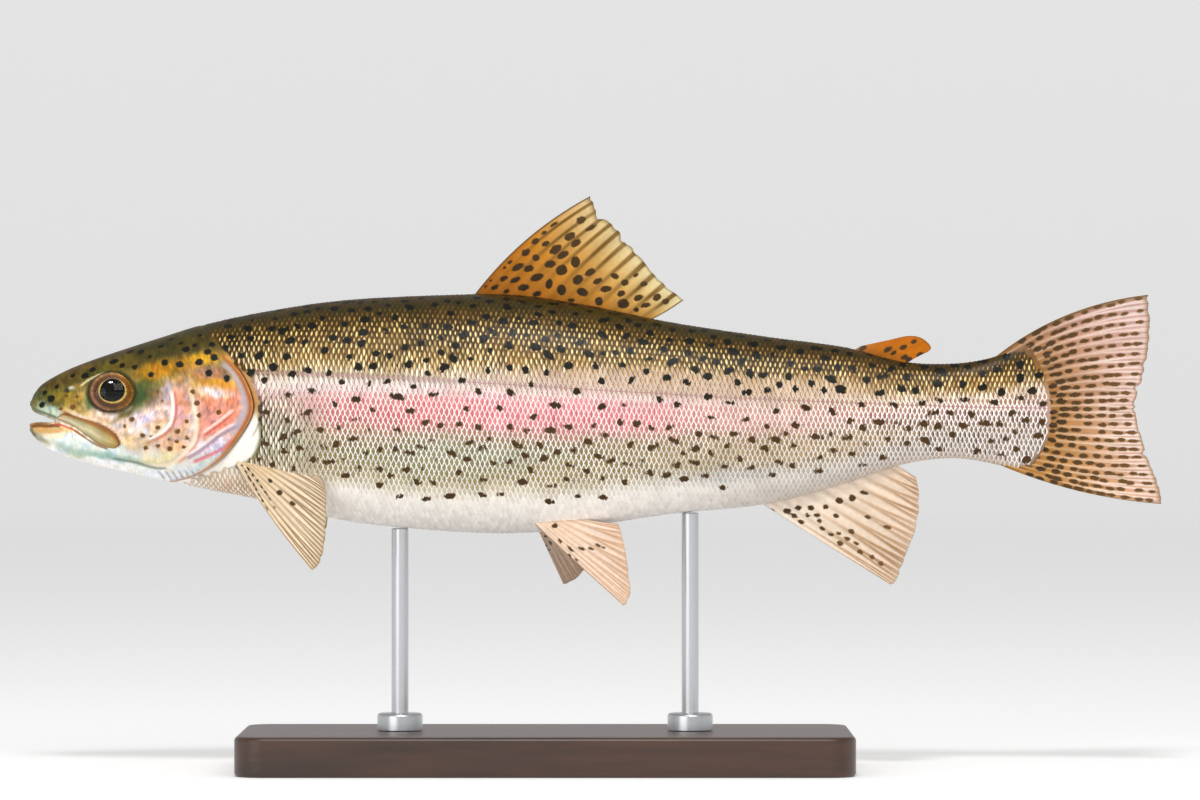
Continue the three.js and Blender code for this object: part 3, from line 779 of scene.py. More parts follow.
    def skin_colour(self, x: Array, share: Array) -> Array:
        """Linear colour of the skin anywhere.

        The head's colours lie ahead of the gill edge and the body's behind it. Between the edge and the first
        scales the skin is bare: white low down, gold high up. Past the last scales it turns to the tail fin's.

        Args:
            x, share: places on the body.

        Returns:
            The colours.
        """
        seen_x, z = self.form.seen(x, share)
        depth = self.form.depth_share(x, z)
        behind = self.behind_gill(x, share)
        bare = x - np.interp(share, *self.form.starts)
        nape = 1 - smoothstep(0.16, 0.26, depth)
        head, body = self.head_colour(seen_x, z), self.body_colour(x, z)
        gap = behind * (1 - nape) + bare * nape
        colour = mix(head, body, smoothstep(-1, 1, gap / (0.4 + 2.2 * nape)))
        naked = smoothstep(0.1, 0.5, behind) * (1 - smoothstep(0.0, 0.9, bare)) * (1 - nape)
        lay(colour, naked, mix((206, 150, 84), (246, 240, 230), smoothstep(129.0, 123.0, z)))
        fringe = bell(bare - 0.7, 0.7) * (1 - nape)
        fringe = fringe * smoothstep(0.93, 0.86, depth) * smoothstep(134, 126, z)
        lay(colour, 0.75 * fringe, (92, 96, 58))
        # painted shade: a dark orange-brown band along the gill cover's edge
        rim = bell(behind + 0.7, 0.8) * (1 - nape)
        lay(colour, 0.95 * rim, mix((170, 86, 20), (176, 128, 104), smoothstep(0.7, 0.95, depth)))
        past = smoothstep(-0.6, 1.2, x - np.interp(share, *self.form.ends))
        lay(colour, past, mix((112, 80, 44), (196, 158, 140), bell(depth - 0.5, 0.28)))
        return linear(colour)

    def scale_marks(self, x: Array, share: Array, chance: Array) -> dict[str, Array]:
        """What each scale adds to its own colour.

        Args:
            x, share: the scales' roots.
            chance: a random number of 0..1 for each.

        Returns:
            `mark`, the linear colour of the dash in the scale's middle, a cream painted highlight on the upper flank
            and the fish's own red or olive dash lower down; and `trim`, the strengths of the dash, of the dark gap
            round it and of the pale rim along the scale's free edge, which is a painted highlight.
        """
        z = self.form.height(x, share)
        depth = self.form.depth_share(x, z)
        stops = (0, 0.05, 0.09, 0.14, 0.30, 0.36, 0.41, 0.45, 0.54, 0.60, 0.66, 0.78, 0.86, 0.92, 1)
        dash = np.interp(depth, stops, (0.05, 0.12, 0.55, 0.95, 0.95, 0.85, 0.7, 0.65, 0.65, 0.45, 0.4, 0.4, 0.2, 0, 0))
        gap = np.interp(depth, stops, (0.1, 0.2, 0.6, 0.95, 0.9, 0.55, 0.3, 0, 0, 0, 0, 0, 0, 0, 0))
        rim = np.interp(depth, stops, (0, 0, 0, 0, 0.1, 0.5, 0.75, 0.9, 0.9, 0.9, 0.95, 0.95, 0.9, 0.7, 0.5))
        # the dash by depth: cream and white on the upper flank are painted highlights, red and olive lower down are the
        # fish's own marks
        colours = (
            (120, 100, 56), (130, 108, 60), (206, 168, 92), (246, 220, 140), (255, 242, 192), (255, 248, 230),
            (255, 244, 244), (204, 84, 104), (204, 80, 102), (134, 112, 80), (104, 92, 50), (116, 104, 62),
            (190, 176, 150), (226, 216, 200), (226, 216, 200),
        )
        mark = gradient(depth, stops, colours)
        # the near-white dashes of the shoulder and chest are painted highlights too
        shoulder = smoothstep(-88, -112, x) * band(depth, 0.40, 0.47, 0.84, 0.92)
        lay(mark, shoulder, (246, 240, 214))
        gap = gap * (1 - shoulder) + shoulder
        dash += shoulder * (1.0 - dash)
        ahead = 0.2 * smoothstep(-45, -95, x) * (1 - shoulder)
        gap += ahead * band(depth, 0.38, 0.42, 0.55, 0.62)
        rim = rim * (1 - 0.7 * shoulder)
        stalk = smoothstep(60, 120, x) * band(depth, 0.36, 0.46, 0.9, 1.0)
        lay(mark, stalk, (92, 70, 56))
        dash += stalk * (0.9 - dash)
        rim += stalk * (1.05 - rim)
        chest = smoothstep(-104, -116, x) * smoothstep(0.8, 0.9, depth)
        lay(mark, chest, (255, 250, 232))
        dash += chest * (0.9 - dash)
        gap += chest * (0.25 - gap)
        rim -= chest * rim
        faded = smoothstep(-5, 55, x) * band(depth, 0.38, 0.45, 0.56, 0.62) * (1 - stalk)
        lay(mark, faded, (176, 122, 104))
        dash -= faded * 0.25
        rim -= 0.2 * smoothstep(-10, 50, x) * smoothstep(0.58, 0.66, depth)
        tan = self.tan_band(x, depth)
        lay(mark, 0.6 * tan, (238, 206, 174))
        dash *= 1 - 0.45 * tan
        gap *= 1 - 0.55 * tan
        rim = np.maximum(rim, 0.45 * tan)
        patchy = 0.65 + 0.8 * ripple(x, z, 7.0, 41)
        dash = np.clip(dash * (0.3 + 0.95 * chance) * patchy, 0, 1)
        gap = gap * np.clip(0.6 + 0.5 * ripple(x, z, 9.0, 42), 0, 1)
        rim = np.clip(rim * (0.75 + 0.45 * ripple(x, z, 6.0, 43)), 0, 1)
        return {"mark": linear(mark), "trim": np.stack([dash, gap, rim], axis=-1)}


@dataclass
class Spots:
    """The dark spots: blots set down at random, nearest together on the back and tail stalk, none on the belly."""

    form: BodyForm
    seed: int = 7
    tries: int = 7500
    reach: float = 6.0
    span: tuple[float, float] = (-131.0, 158.0)
    head_dark: Points = (
        (-190.8, 135.3), (-195.1, 133.2), (-192.9, 131.1), (-196.1, 129.0), (-185.2, 139.2), (-180.9, 139.2),
        (-178.3, 141.3), (-170.7, 144.2), (-167.8, 142.8), (-163.3, 142.1), (-165.0, 147.7), (-161.1, 147.7),
        (-158.0, 145.9), (-154.1, 149.5), (-152.7, 143.8), (-147.4, 143.1), (-140.6, 144.0), (-135.3, 145.6),
        (-145.2, 148.4), (-142.1, 149.8), (-136.0, 150.2), (-157.6, 139.6), (-137.1, 140.1), (-130.7, 138.2),
        (-150.4, 152.0), (-147.0, 150.6), (-140.2, 153.4), (-137.6, 147.6), (-178.5, 144.6), (-169.5, 147.9),
        (-161.5, 150.4), (-155.5, 152.4), (-145.5, 155.2), (-137.5, 157.6),
    )
    head_brown: Points = (
        (-187.6, 132.2), (-183.7, 131.8), (-189.4, 127.6), (-185.2, 128.3), (-164.3, 124.0), (-166.8, 121.6),
        (-155.1, 133.6), (-153.5, 130.4), (-142.8, 133.6), (-141.3, 129.7), (-140.6, 125.4), (-133.6, 126.5),
        (-144.9, 123.3), (-148.1, 119.8), (-151.2, 117.0), (-148.4, 116.4), (-144.9, 117.7), (-155.1, 121.2),
        (-157.6, 118.4), (-160.4, 118.4), (-155.1, 114.8), (-150.9, 113.8), (-159.4, 114.1), (-145.9, 114.5),
    )

    def __post_init__(self) -> None:
        """Sets the spots down once for each side: x, distance below the lateral line, radius, stretch and turn."""
        self.sides = {side: self.scatter(self.seed + side) for side in Side}

    def room(self, x: float, depth: float) -> float:
        """How far apart spots must lie there, or nought where there are none."""
        stops = (0.0, 0.08, 0.2, 0.33, 0.4, 0.47, 0.55, 0.65, 0.78, 0.86)
        front = (4.5, 4.5, 4.6, 5.0, 6.6, 6.6, 5.2, 4.7, 5.0, 8.0)
        stalk = (4.6, 4.6, 4.6, 4.8, 4.8, 4.8, 4.9, 4.9, 5.0, 5.4)
        share = float(smoothstep(60, 130, x))
        gap = np.interp(depth, stops, front) * (1 - share) + np.interp(depth, stops, stalk) * share
        end = 0.88 + 0.06 * share
        return 0.0 if depth > end else float(gap)

    def scatter(self, seed: int) -> Array:
        """Throws spots at random places, keeping each that has room."""
        rng = np.random.default_rng(seed)
        form, kept = self.form, np.zeros((0, 5))
        for _ in range(self.tries):
            x = rng.uniform(*self.span)
            share = rng.uniform(0, 1)
            size, stretch, turn, chance = rng.uniform(0.9, 1.22), rng.uniform(0, 1), rng.uniform(-1, 1), rng.random()
            depth = float(form.depth_share(np.array(x), form.height(np.array(x), np.array(share))))
            if x < float(np.interp(share, *form.starts)) + 1.5 or x > float(np.interp(share, *form.ends)) - 0.5:
                continue
            gap = self.room(x, depth)
            distance = (share - float(np.interp(x, form.rows, form.lateral_share))) * float(form.girth(x))
            least = gap * (0.92 + 0.2 * chance)
            if gap == 0 or (len(kept) and np.hypot(kept[:, 0] - x, kept[:, 1] - distance).min() < least):
                continue
            low = float(smoothstep(0.3, 0.42, depth))
            radius = size * (1.18 - 0.30 * low) * (1 + 0.12 * float(smoothstep(60, 130, x)))
            spot = (x, distance, radius, 1 + 0.3 * low + 0.7 * stretch**2, turn * (0.9 - 0.45 * low))
            kept = np.vstack([kept, spot])
        return kept

    def distance(self, x: Array, share: Array, side: int) -> Array:
        """How deep inside the nearest spot a place lies, in millimetres; below nought outside them all."""
        below = (share - np.interp(x, self.form.rows, self.form.lateral_share)) * self.form.girth(x)
        order = np.argsort(x, axis=None)
        flat_x, flat_d, flat_best = x.ravel()[order], below.ravel()[order], np.full(x.size, -self.reach)
        for px, pd, radius, stretch, turn in self.sides[side]:
            low, high = np.searchsorted(flat_x, (px - 5, px + 5))
            dx, dd = flat_x[low:high] - px, flat_d[low:high] - pd
            c, s = math.cos(turn), math.sin(turn)
            gap = np.hypot((dx * c + dd * s) / stretch, dx * s - dd * c)
            flat_best[low:high] = np.maximum(flat_best[low:high], radius - gap)
        best = np.empty(x.size)
        best[order] = flat_best
        return best.reshape(x.shape)

    def spot_centre(self, x: float, z: float, least: float) -> Array:
        """The point of the body seen at x and z from the side, kept at least this far from the midline."""
        girth = float(self.form.girth(np.array(x)))
        share = max(float(self.form.share_at(np.array(x), np.array(z))), least / girth)
        at = self.form.surface(np.array(x), np.array(share))
        return self.form.surface(x / (1 + at[1] / self.form.viewing_distance), np.array(share))

    def on_head(self, x: Array, share: Array, side: int) -> tuple[Array, Array]:
        """How deep inside the head's own spots each place lies, and how brown the nearest one is."""
        rng = np.random.default_rng(self.seed + 5)
        points = self.form.surface(x, share)
        best, brown = np.full(x.shape, -self.reach), np.zeros(x.shape)
        for places, radius, tone in ((self.head_dark, 1.08, 0.0), (self.head_brown, 0.85, 1.0)):
            for px, pz in places:
                push = rng.uniform(-1, 1, 3)
                if side == Side.RIGHT:
                    px, pz = px + 2.2 * push[0], pz + 1.6 * push[1]
                size = radius * (1 + 0.28 * push[2])
                away = (points - self.spot_centre(px, pz, size)) / (1.15 + 0.2 * push[0], 1.0, 1.0)
                inside = size - np.linalg.norm(away, axis=-1)
                brown = np.where(inside > best, tone, brown)
                best = np.maximum(best, inside)
        return best, brown

    def everywhere(self, x: Array, share: Array, side: int) -> tuple[Array, Array]:
        """How deep inside a spot each place lies, and how brown that spot is."""
        depth = self.form.depth_share(x, self.form.height(x, share))
        body = self.distance(x, share, side)
        head, brown = self.on_head(x, share, side)
        first = np.where(depth < 0.22, np.interp(share, *self.form.starts), np.interp(share, *self.form.gill))
        on_head = x < first
        tone = smoothstep(0.28, 0.6, depth) * 0.46
        return np.where(on_head, head, body), np.where(on_head, brown, tone)


# ---------------------------------------------------------------------------------------------------------------
# Finishes


class Wiring:
    """Adds nodes to a tree, with inputs set or linked by name."""

    def __init__(self, tree: bpy.types.NodeTree) -> None:
        """Keeps the tree."""
        self.tree = tree

    def feed(self, socket: bpy.types.NodeSocket, value: object) -> None:
        """Links an input to a socket, or sets it."""
        if isinstance(value, bpy.types.NodeSocket):
            self.tree.links.new(value, socket)
        else:
            socket.default_value = value

    def node(self, kind: str, setup: dict[str, object] | None = None, **inputs: object) -> bpy.types.Node:
        """Adds a node.

        Args:
            kind: the node's type, without the word ShaderNode.
            setup: the node's own settings.
            inputs: a value or a socket for each input, named with underscores for spaces, or i and its number.

        Returns:
            The node.
        """
        made = self.tree.nodes.new("ShaderNode" + kind)
        for key, value in (setup or {}).items():
            setattr(made, key, value)
        for key, value in inputs.items():
            numbered = key[0] == "i" and key[1:].isdigit()
            self.feed(made.inputs[int(key[1:]) if numbered else key.replace("_", " ")], value)
        return made

    def maths(self, operation: str, a: object, b: object = 0.0, c: object = 0.0) -> bpy.types.NodeSocket:
        """A Math node's result."""
        return self.node("Math", {"operation": operation}, i0=a, i1=b, i2=c).outputs[0]

    def blend(self, share: object, a: object, b: object) -> bpy.types.NodeSocket:
        """Colour a turned towards colour b by a share."""
        return self.node("Mix", {"data_type": "RGBA", "clamp_factor": True}, i0=share, i6=a, i7=b).outputs[2]

    def step(self, value: object, low: object, high: object) -> bpy.types.NodeSocket:
        """0 below low, 1 above high, smooth between."""
        made = self.node("MapRange", {"interpolation_type": "SMOOTHSTEP"}, Value=value, From_Min=low, From_Max=high)
        return made.outputs["Result"]

    def effect(self, group: bpy.types.NodeTree, **inputs: object) -> bpy.types.Node:
        """Places a shared effect, with its inputs set or linked by name."""
        made = self.tree.nodes.new("ShaderNodeGroup")
        made.node_tree = group
        for key, value in inputs.items():
            self.feed(made.inputs[key], value)
        return made

    def attribute(self, name: str) -> bpy.types.Node:
        """A node that reads one of the piece's own values."""
        return self.node("Attribute", {"attribute_name": name, "attribute_type": "GEOMETRY"})


def rgba(*colour: float) -> tuple[float, float, float, float]:
    """A screen colour of 0..255 as a linear colour with full alpha."""
    return (*(float(c) for c in linear(colour)), 1.0)


class Effects:
    """Effects that several finishes share, each a node group built once."""

    def __init__(self) -> None:
        """Builds the groups."""
        self.inked = self.build_inked()
        self.cloudy = self.build_cloudy()
        self.pores = self.build_pores()

    @staticmethod
    def group(
        name: str, inputs: dict[str, object], output: str, kind: str
    ) -> tuple[bpy.types.NodeTree, Wiring, bpy.types.Node, bpy.types.Node]:
        """Starts a group.

        Args:
            name: the group's name.
            inputs: each input's first value; a colour has four numbers.
            output, kind: the output's name and its kind of socket.

        Returns:
            The group, its wiring, and its input and output nodes.
        """
        tree = bpy.data.node_groups.new(name, "ShaderNodeTree")
        for key, value in inputs.items():
            given = "NodeSocketColor" if isinstance(value, tuple) else "NodeSocketFloat"
            tree.interface.new_socket(key, in_out="INPUT", socket_type=given).default_value = value
        tree.interface.new_socket(output, in_out="OUTPUT", socket_type=f"NodeSocket{kind}")
        wires = Wiring(tree)
        return tree, wires, tree.nodes.new("NodeGroupInput"), tree.nodes.new("NodeGroupOutput")

    def build_inked(self) -> bpy.types.NodeTree:
        """Spots with ragged edges: full where the depth inside a spot, roughened by noise, is above nought."""
        tree, w, given, out = self.group(
            "Inked spots",
            {
                "Colour": (0.5, 0.5, 0.5, 1.0), "Ink": (0.01, 0.01, 0.01, 1.0), "Depth": 0.0, "Ragged": 0.4,
                "Edge": 0.2, "Grain": 900.0,
            },
            "Colour", "Color",
        )
        where = w.node("TexCoord").outputs["Object"]
        noise = w.node("TexNoise", Vector=where, Scale=given.outputs["Grain"], Detail=2.0).outputs["Fac"]
        push = w.maths("MULTIPLY", w.maths("SUBTRACT", noise, 0.5), given.outputs["Ragged"])
        low = w.maths("MULTIPLY", given.outputs["Edge"], -1.0)
        mask = w.step(w.maths("ADD", given.outputs["Depth"], push), low, given.outputs["Edge"])
        tree.links.new(w.blend(mask, given.outputs["Colour"], given.outputs["Ink"]), out.inputs["Colour"])
        return tree

    def build_cloudy(self) -> bpy.types.NodeTree:
        """Lighter and darker clouds: the colour times 1 plus noise of -0.5..0.5 times the amount."""
        tree, w, given, out = self.group(
            "Cloudy colour", {"Colour": (0.5, 0.5, 0.5, 1.0), "Amount": 0.3, "Grain": 400.0}, "Colour", "Color"
        )
        where = w.node("TexCoord").outputs["Object"]
        noise = w.node("TexNoise", Vector=where, Scale=given.outputs["Grain"], Detail=4.0).outputs["Fac"]
        gain = w.maths("MULTIPLY_ADD", w.maths("SUBTRACT", noise, 0.5), given.outputs["Amount"], 1.0)
        scaled = w.node("VectorMath", {"operation": "SCALE"}, Scale=gain)
        tree.links.new(given.outputs["Colour"], scaled.inputs[0])
        tree.links.new(scaled.outputs[0], out.inputs["Colour"])
        return tree

    def build_pores(self) -> bpy.types.NodeTree:
        """Fine unevenness for a Bump node: two sizes of noise added together."""
        tree, w, given, out = self.group("Fine pores", {"Grain": 900.0, "Fineness": 3.0}, "Height", "Float")
        where = w.node("TexCoord").outputs["Object"]
        coarse = w.node("TexNoise", Vector=where, Scale=given.outputs["Grain"], Detail=2.0).outputs["Fac"]
        finer = w.maths("MULTIPLY", given.outputs["Grain"], given.outputs["Fineness"])
        fine = w.node("TexNoise", Vector=where, Scale=finer, Detail=1.0).outputs["Fac"]
        tree.links.new(w.maths("MULTIPLY_ADD", fine, 0.4, coarse), out.inputs["Height"])
        return tree


@dataclass(frozen=True)
class Gloss:
    """The shader settings of a finish."""

    roughness: float
    specular: float = 0.5
    coat: float = 0.0
    coat_roughness: float = 0.08
    metallic: float = 0.0


def new_material(name: str, gloss: Gloss) -> tuple[bpy.types.Material, Wiring, bpy.types.Node]:
    """Starts a material.

    Args:
        name: the material's name.
        gloss: its shader settings.

    Returns:
        The material, its wiring and its shader.
    """
    material = bpy.data.materials.new(name)
    material.use_nodes = True
    shader = material.node_tree.nodes["Principled BSDF"]
    for key, value in (
        ("Roughness", gloss.roughness),
        ("Specular IOR Level", gloss.specular),
        ("Coat Weight", gloss.coat),
        ("Coat Roughness", gloss.coat_roughness),
        ("Metallic", gloss.metallic),
    ):
        shader.inputs[key].default_value = value
    return material, Wiring(material.node_tree), shader


class Finishes:
    """Every finish of the model, made once."""

    def __init__(self) -> None:
        """Builds the shared effects, then the materials."""
        self.effects = Effects()
        self.skin = self.make_skin()
        self.scale = self.make_scale()
        self.fin = self.make_fin()
        self.iris = self.make_iris()
        self.pupil = self.make_pupil()
        self.cornea = self.make_cornea()
        self.wood = self.make_wood()
        self.steel = self.make_steel()
        self.floor = self.make_floor()

    def ink(
        self, w: Wiring, shader: bpy.types.Node, under: bpy.types.NodeSocket, ink: bpy.types.NodeSocket,
        ragged: float, edge: float, grain: float,
    ) -> None:
        """Lays the piece's spots over a colour and feeds the shader's base colour.

        Args:
            w, shader: the material's wiring and shader.
            under, ink: the colours outside and inside spots.
            ragged, edge, grain: the spots' raggedness, softness and fineness.
        """
        depth = w.attribute("spot").outputs["Fac"]
        spots = w.effect(self.effects.inked, Colour=under, Ink=ink, Depth=depth, Ragged=ragged, Edge=edge, Grain=grain)
        w.feed(shader.inputs["Base Color"], spots.outputs["Colour"])

    def clouded(self, w: Wiring, colour: bpy.types.NodeSocket, amount: float, grain: float) -> bpy.types.NodeSocket:
        """A colour with the shared clouds over it."""
        return w.effect(self.effects.cloudy, Colour=colour, Amount=amount, Grain=grain).outputs["Colour"]

    def roughen(self, w: Wiring, shader: bpy.types.Node, grain: float, strength: float, distance: float) -> None:
        """Bends a shader's normal by the shared pores."""
        height = w.effect(self.effects.pores, Grain=grain).outputs["Height"]
        bump = w.node("Bump", Strength=strength, Distance=distance, Height=height)
        w.feed(shader.inputs["Normal"], bump.outputs[0])

    def ink_tone(self, w: Wiring) -> bpy.types.NodeSocket:
        """Near black for the back's spots, brown for the flank's."""
        return w.blend(w.attribute("tone").outputs["Fac"], rgba(14, 15, 6), rgba(102, 68, 22))

    def make_skin(self) -> bpy.types.Material:
        """Smooth skin of the head and of whatever shows between scales."""
        material, w, shader = new_material("Skin", Gloss(0.42, 0.18, 0.06, 0.2))
        clouded = self.clouded(w, w.attribute("paint").outputs["Color"], 0.35, 700.0)
        self.ink(w, shader, clouded, self.ink_tone(w), 1.0, 0.28, 1200.0)
        self.roughen(w, shader, 1100.0, 0.25, 0.00012)
        return material

    def make_scale(self) -> bpy.types.Material:
        """Scales: a dash in the middle, a dark gap round it and a pale rim at the free edge, each to its strength. The
        cream dash of the upper flank and the pale rim are painted highlights; the red and olive dashes are the fish's
        own.
        """
        material, w, shader = new_material("Scales", Gloss(0.42, 0.18, 0.04, 0.2))
        painted = w.attribute("paint").outputs["Color"]
        cell = w.node("SeparateXYZ", Vector=w.attribute("cell").outputs["Vector"])
        trim = w.node("SeparateXYZ", Vector=w.attribute("trim").outputs["Vector"])
        long = w.maths("MULTIPLY", cell.outputs["X"], 3.6)
        high = w.maths("MULTIPLY", cell.outputs["Y"], 1.2)
        far = w.maths("SQRT", w.maths("ADD", w.maths("MULTIPLY", long, long), w.maths("MULTIPLY", high, high)))
        inside = w.maths("SUBTRACT", 1.0, w.step(far, 0.5, 1.05))
        outside = w.step(far, 0.75, 1.5)
        edge = w.step(cell.outputs["Z"], 0.55, 0.9)
        gapped = w.blend(w.maths("MULTIPLY", outside, trim.outputs["Y"]), painted, rgba(44, 30, 6))
        # painted highlight: a pale rim along each scale's free edge
        rim_highlighted = w.blend(w.maths("MULTIPLY", edge, trim.outputs["Z"]), gapped, rgba(255, 251, 246))
        # the dash: a painted highlight where it is cream, the fish's own mark where it is red or olive
        dashed_and_highlighted = w.blend(w.maths("MULTIPLY", inside, trim.outputs["X"]), rim_highlighted, w.attribute("mark").outputs["Color"])
        clouded = self.clouded(w, dashed_and_highlighted, 0.2, 900.0)
        self.ink(w, shader, clouded, self.ink_tone(w), 0.8, 0.2, 1300.0)
        return material

    def make_fin(self) -> bpy.types.Material:
        """Fins: painted rays and skin, with spots."""
        material, w, shader = new_material("Fins", Gloss(0.5, 0.15, 0.02, 0.25))
        clouded = self.clouded(w, w.attribute("paint").outputs["Color"], 0.35, 600.0)
        ink = w.blend(w.attribute("tone").outputs["Fac"], rgba(34, 24, 6), rgba(124, 88, 46))
        self.ink(w, shader, clouded, ink, 0.7, 0.22, 900.0)
        self.roughen(w, shader, 1500.0, 0.2, 0.0001)
        return material

    def make_iris(self) -> bpy.types.Material:
        """The iris: gold and copper with fine spokes and a pale ring round the pupil."""
        material, w, shader = new_material("Iris", Gloss(0.4, 0.25, 0.0, 0.05))
        clouded = self.clouded(w, w.attribute("paint").outputs["Color"], 0.5, 1600.0)
        w.feed(shader.inputs["Base Color"], clouded)
        return material

    def make_pupil(self) -> bpy.types.Material:
        """The pupil: near black and wet."""
        material, _, shader = new_material("Pupil", Gloss(0.3, 0.0))
        shader.inputs["Base Color"].default_value = rgba(14, 15, 12)
        return material

    def make_cornea(self) -> bpy.types.Material:
        """The clear front of the eye, which lets shadow rays through."""
        material, w, shader = new_material("Cornea", Gloss(0.0))
        shader.inputs["Transmission Weight"].default_value = 1.0
        shader.inputs["IOR"].default_value = 1.32
        clear = w.node("BsdfTransparent")
        path = w.node("LightPath")
        mixed = w.node("MixShader", i0=path.outputs["Is Shadow Ray"])
        w.tree.links.new(shader.outputs[0], mixed.inputs[1])
        w.tree.links.new(clear.outputs[0], mixed.inputs[2])
        w.tree.links.new(mixed.outputs[0], w.tree.nodes["Material Output"].inputs["Surface"])
        return material

    def make_wood(self) -> bpy.types.Material:
        """Dark oiled wood, its grain along X."""
        material, w, shader = new_material("Stand wood", Gloss(0.42, 0.5, 0.25, 0.25))
        where = w.node("TexCoord").outputs["Object"]
        drawn = w.node("Mapping", Vector=where, Scale=(6.0, 60.0, 60.0)).outputs[0]
        grain = w.node("TexNoise", Vector=drawn, Scale=3.0, Detail=8.0, Roughness=0.65, Distortion=0.4)
        broad = w.node("TexNoise", Vector=drawn, Scale=0.7, Detail=4.0, Roughness=0.5, Distortion=1.5)
        share = w.maths("MULTIPLY_ADD", broad.outputs["Fac"], 0.5, w.maths("MULTIPLY", grain.outputs["Fac"], 0.5))
        colour = w.blend(w.step(share, 0.3, 0.7), rgba(44, 26, 17), rgba(76, 47, 29))
        w.feed(shader.inputs["Base Color"], colour)
        bump = w.node("Bump", Strength=0.15, Distance=0.0002, Height=grain.outputs["Fac"])
        w.feed(shader.inputs["Normal"], bump.outputs[0])
        return material

    def make_steel(self) -> bpy.types.Material:
        """Satin steel for the rods and collars."""
        material, _, shader = new_material("Stand steel", Gloss(0.28, 0.5, 0.0, 0.1, 1.0))
        shader.inputs["Base Color"].default_value = rgba(200, 202, 205)
        return material

    def make_floor(self) -> bpy.types.Material:
        """A plain pale floor."""
        material, _, shader = new_material("Floor", Gloss(0.95, 0.0))
        shader.inputs["Base Color"].default_value = (0.93, 0.93, 0.93, 1.0)
        shader.inputs["Emission Strength"].default_value = 0.2
        return material


# ---------------------------------------------------------------------------------------------------------------
# The skin


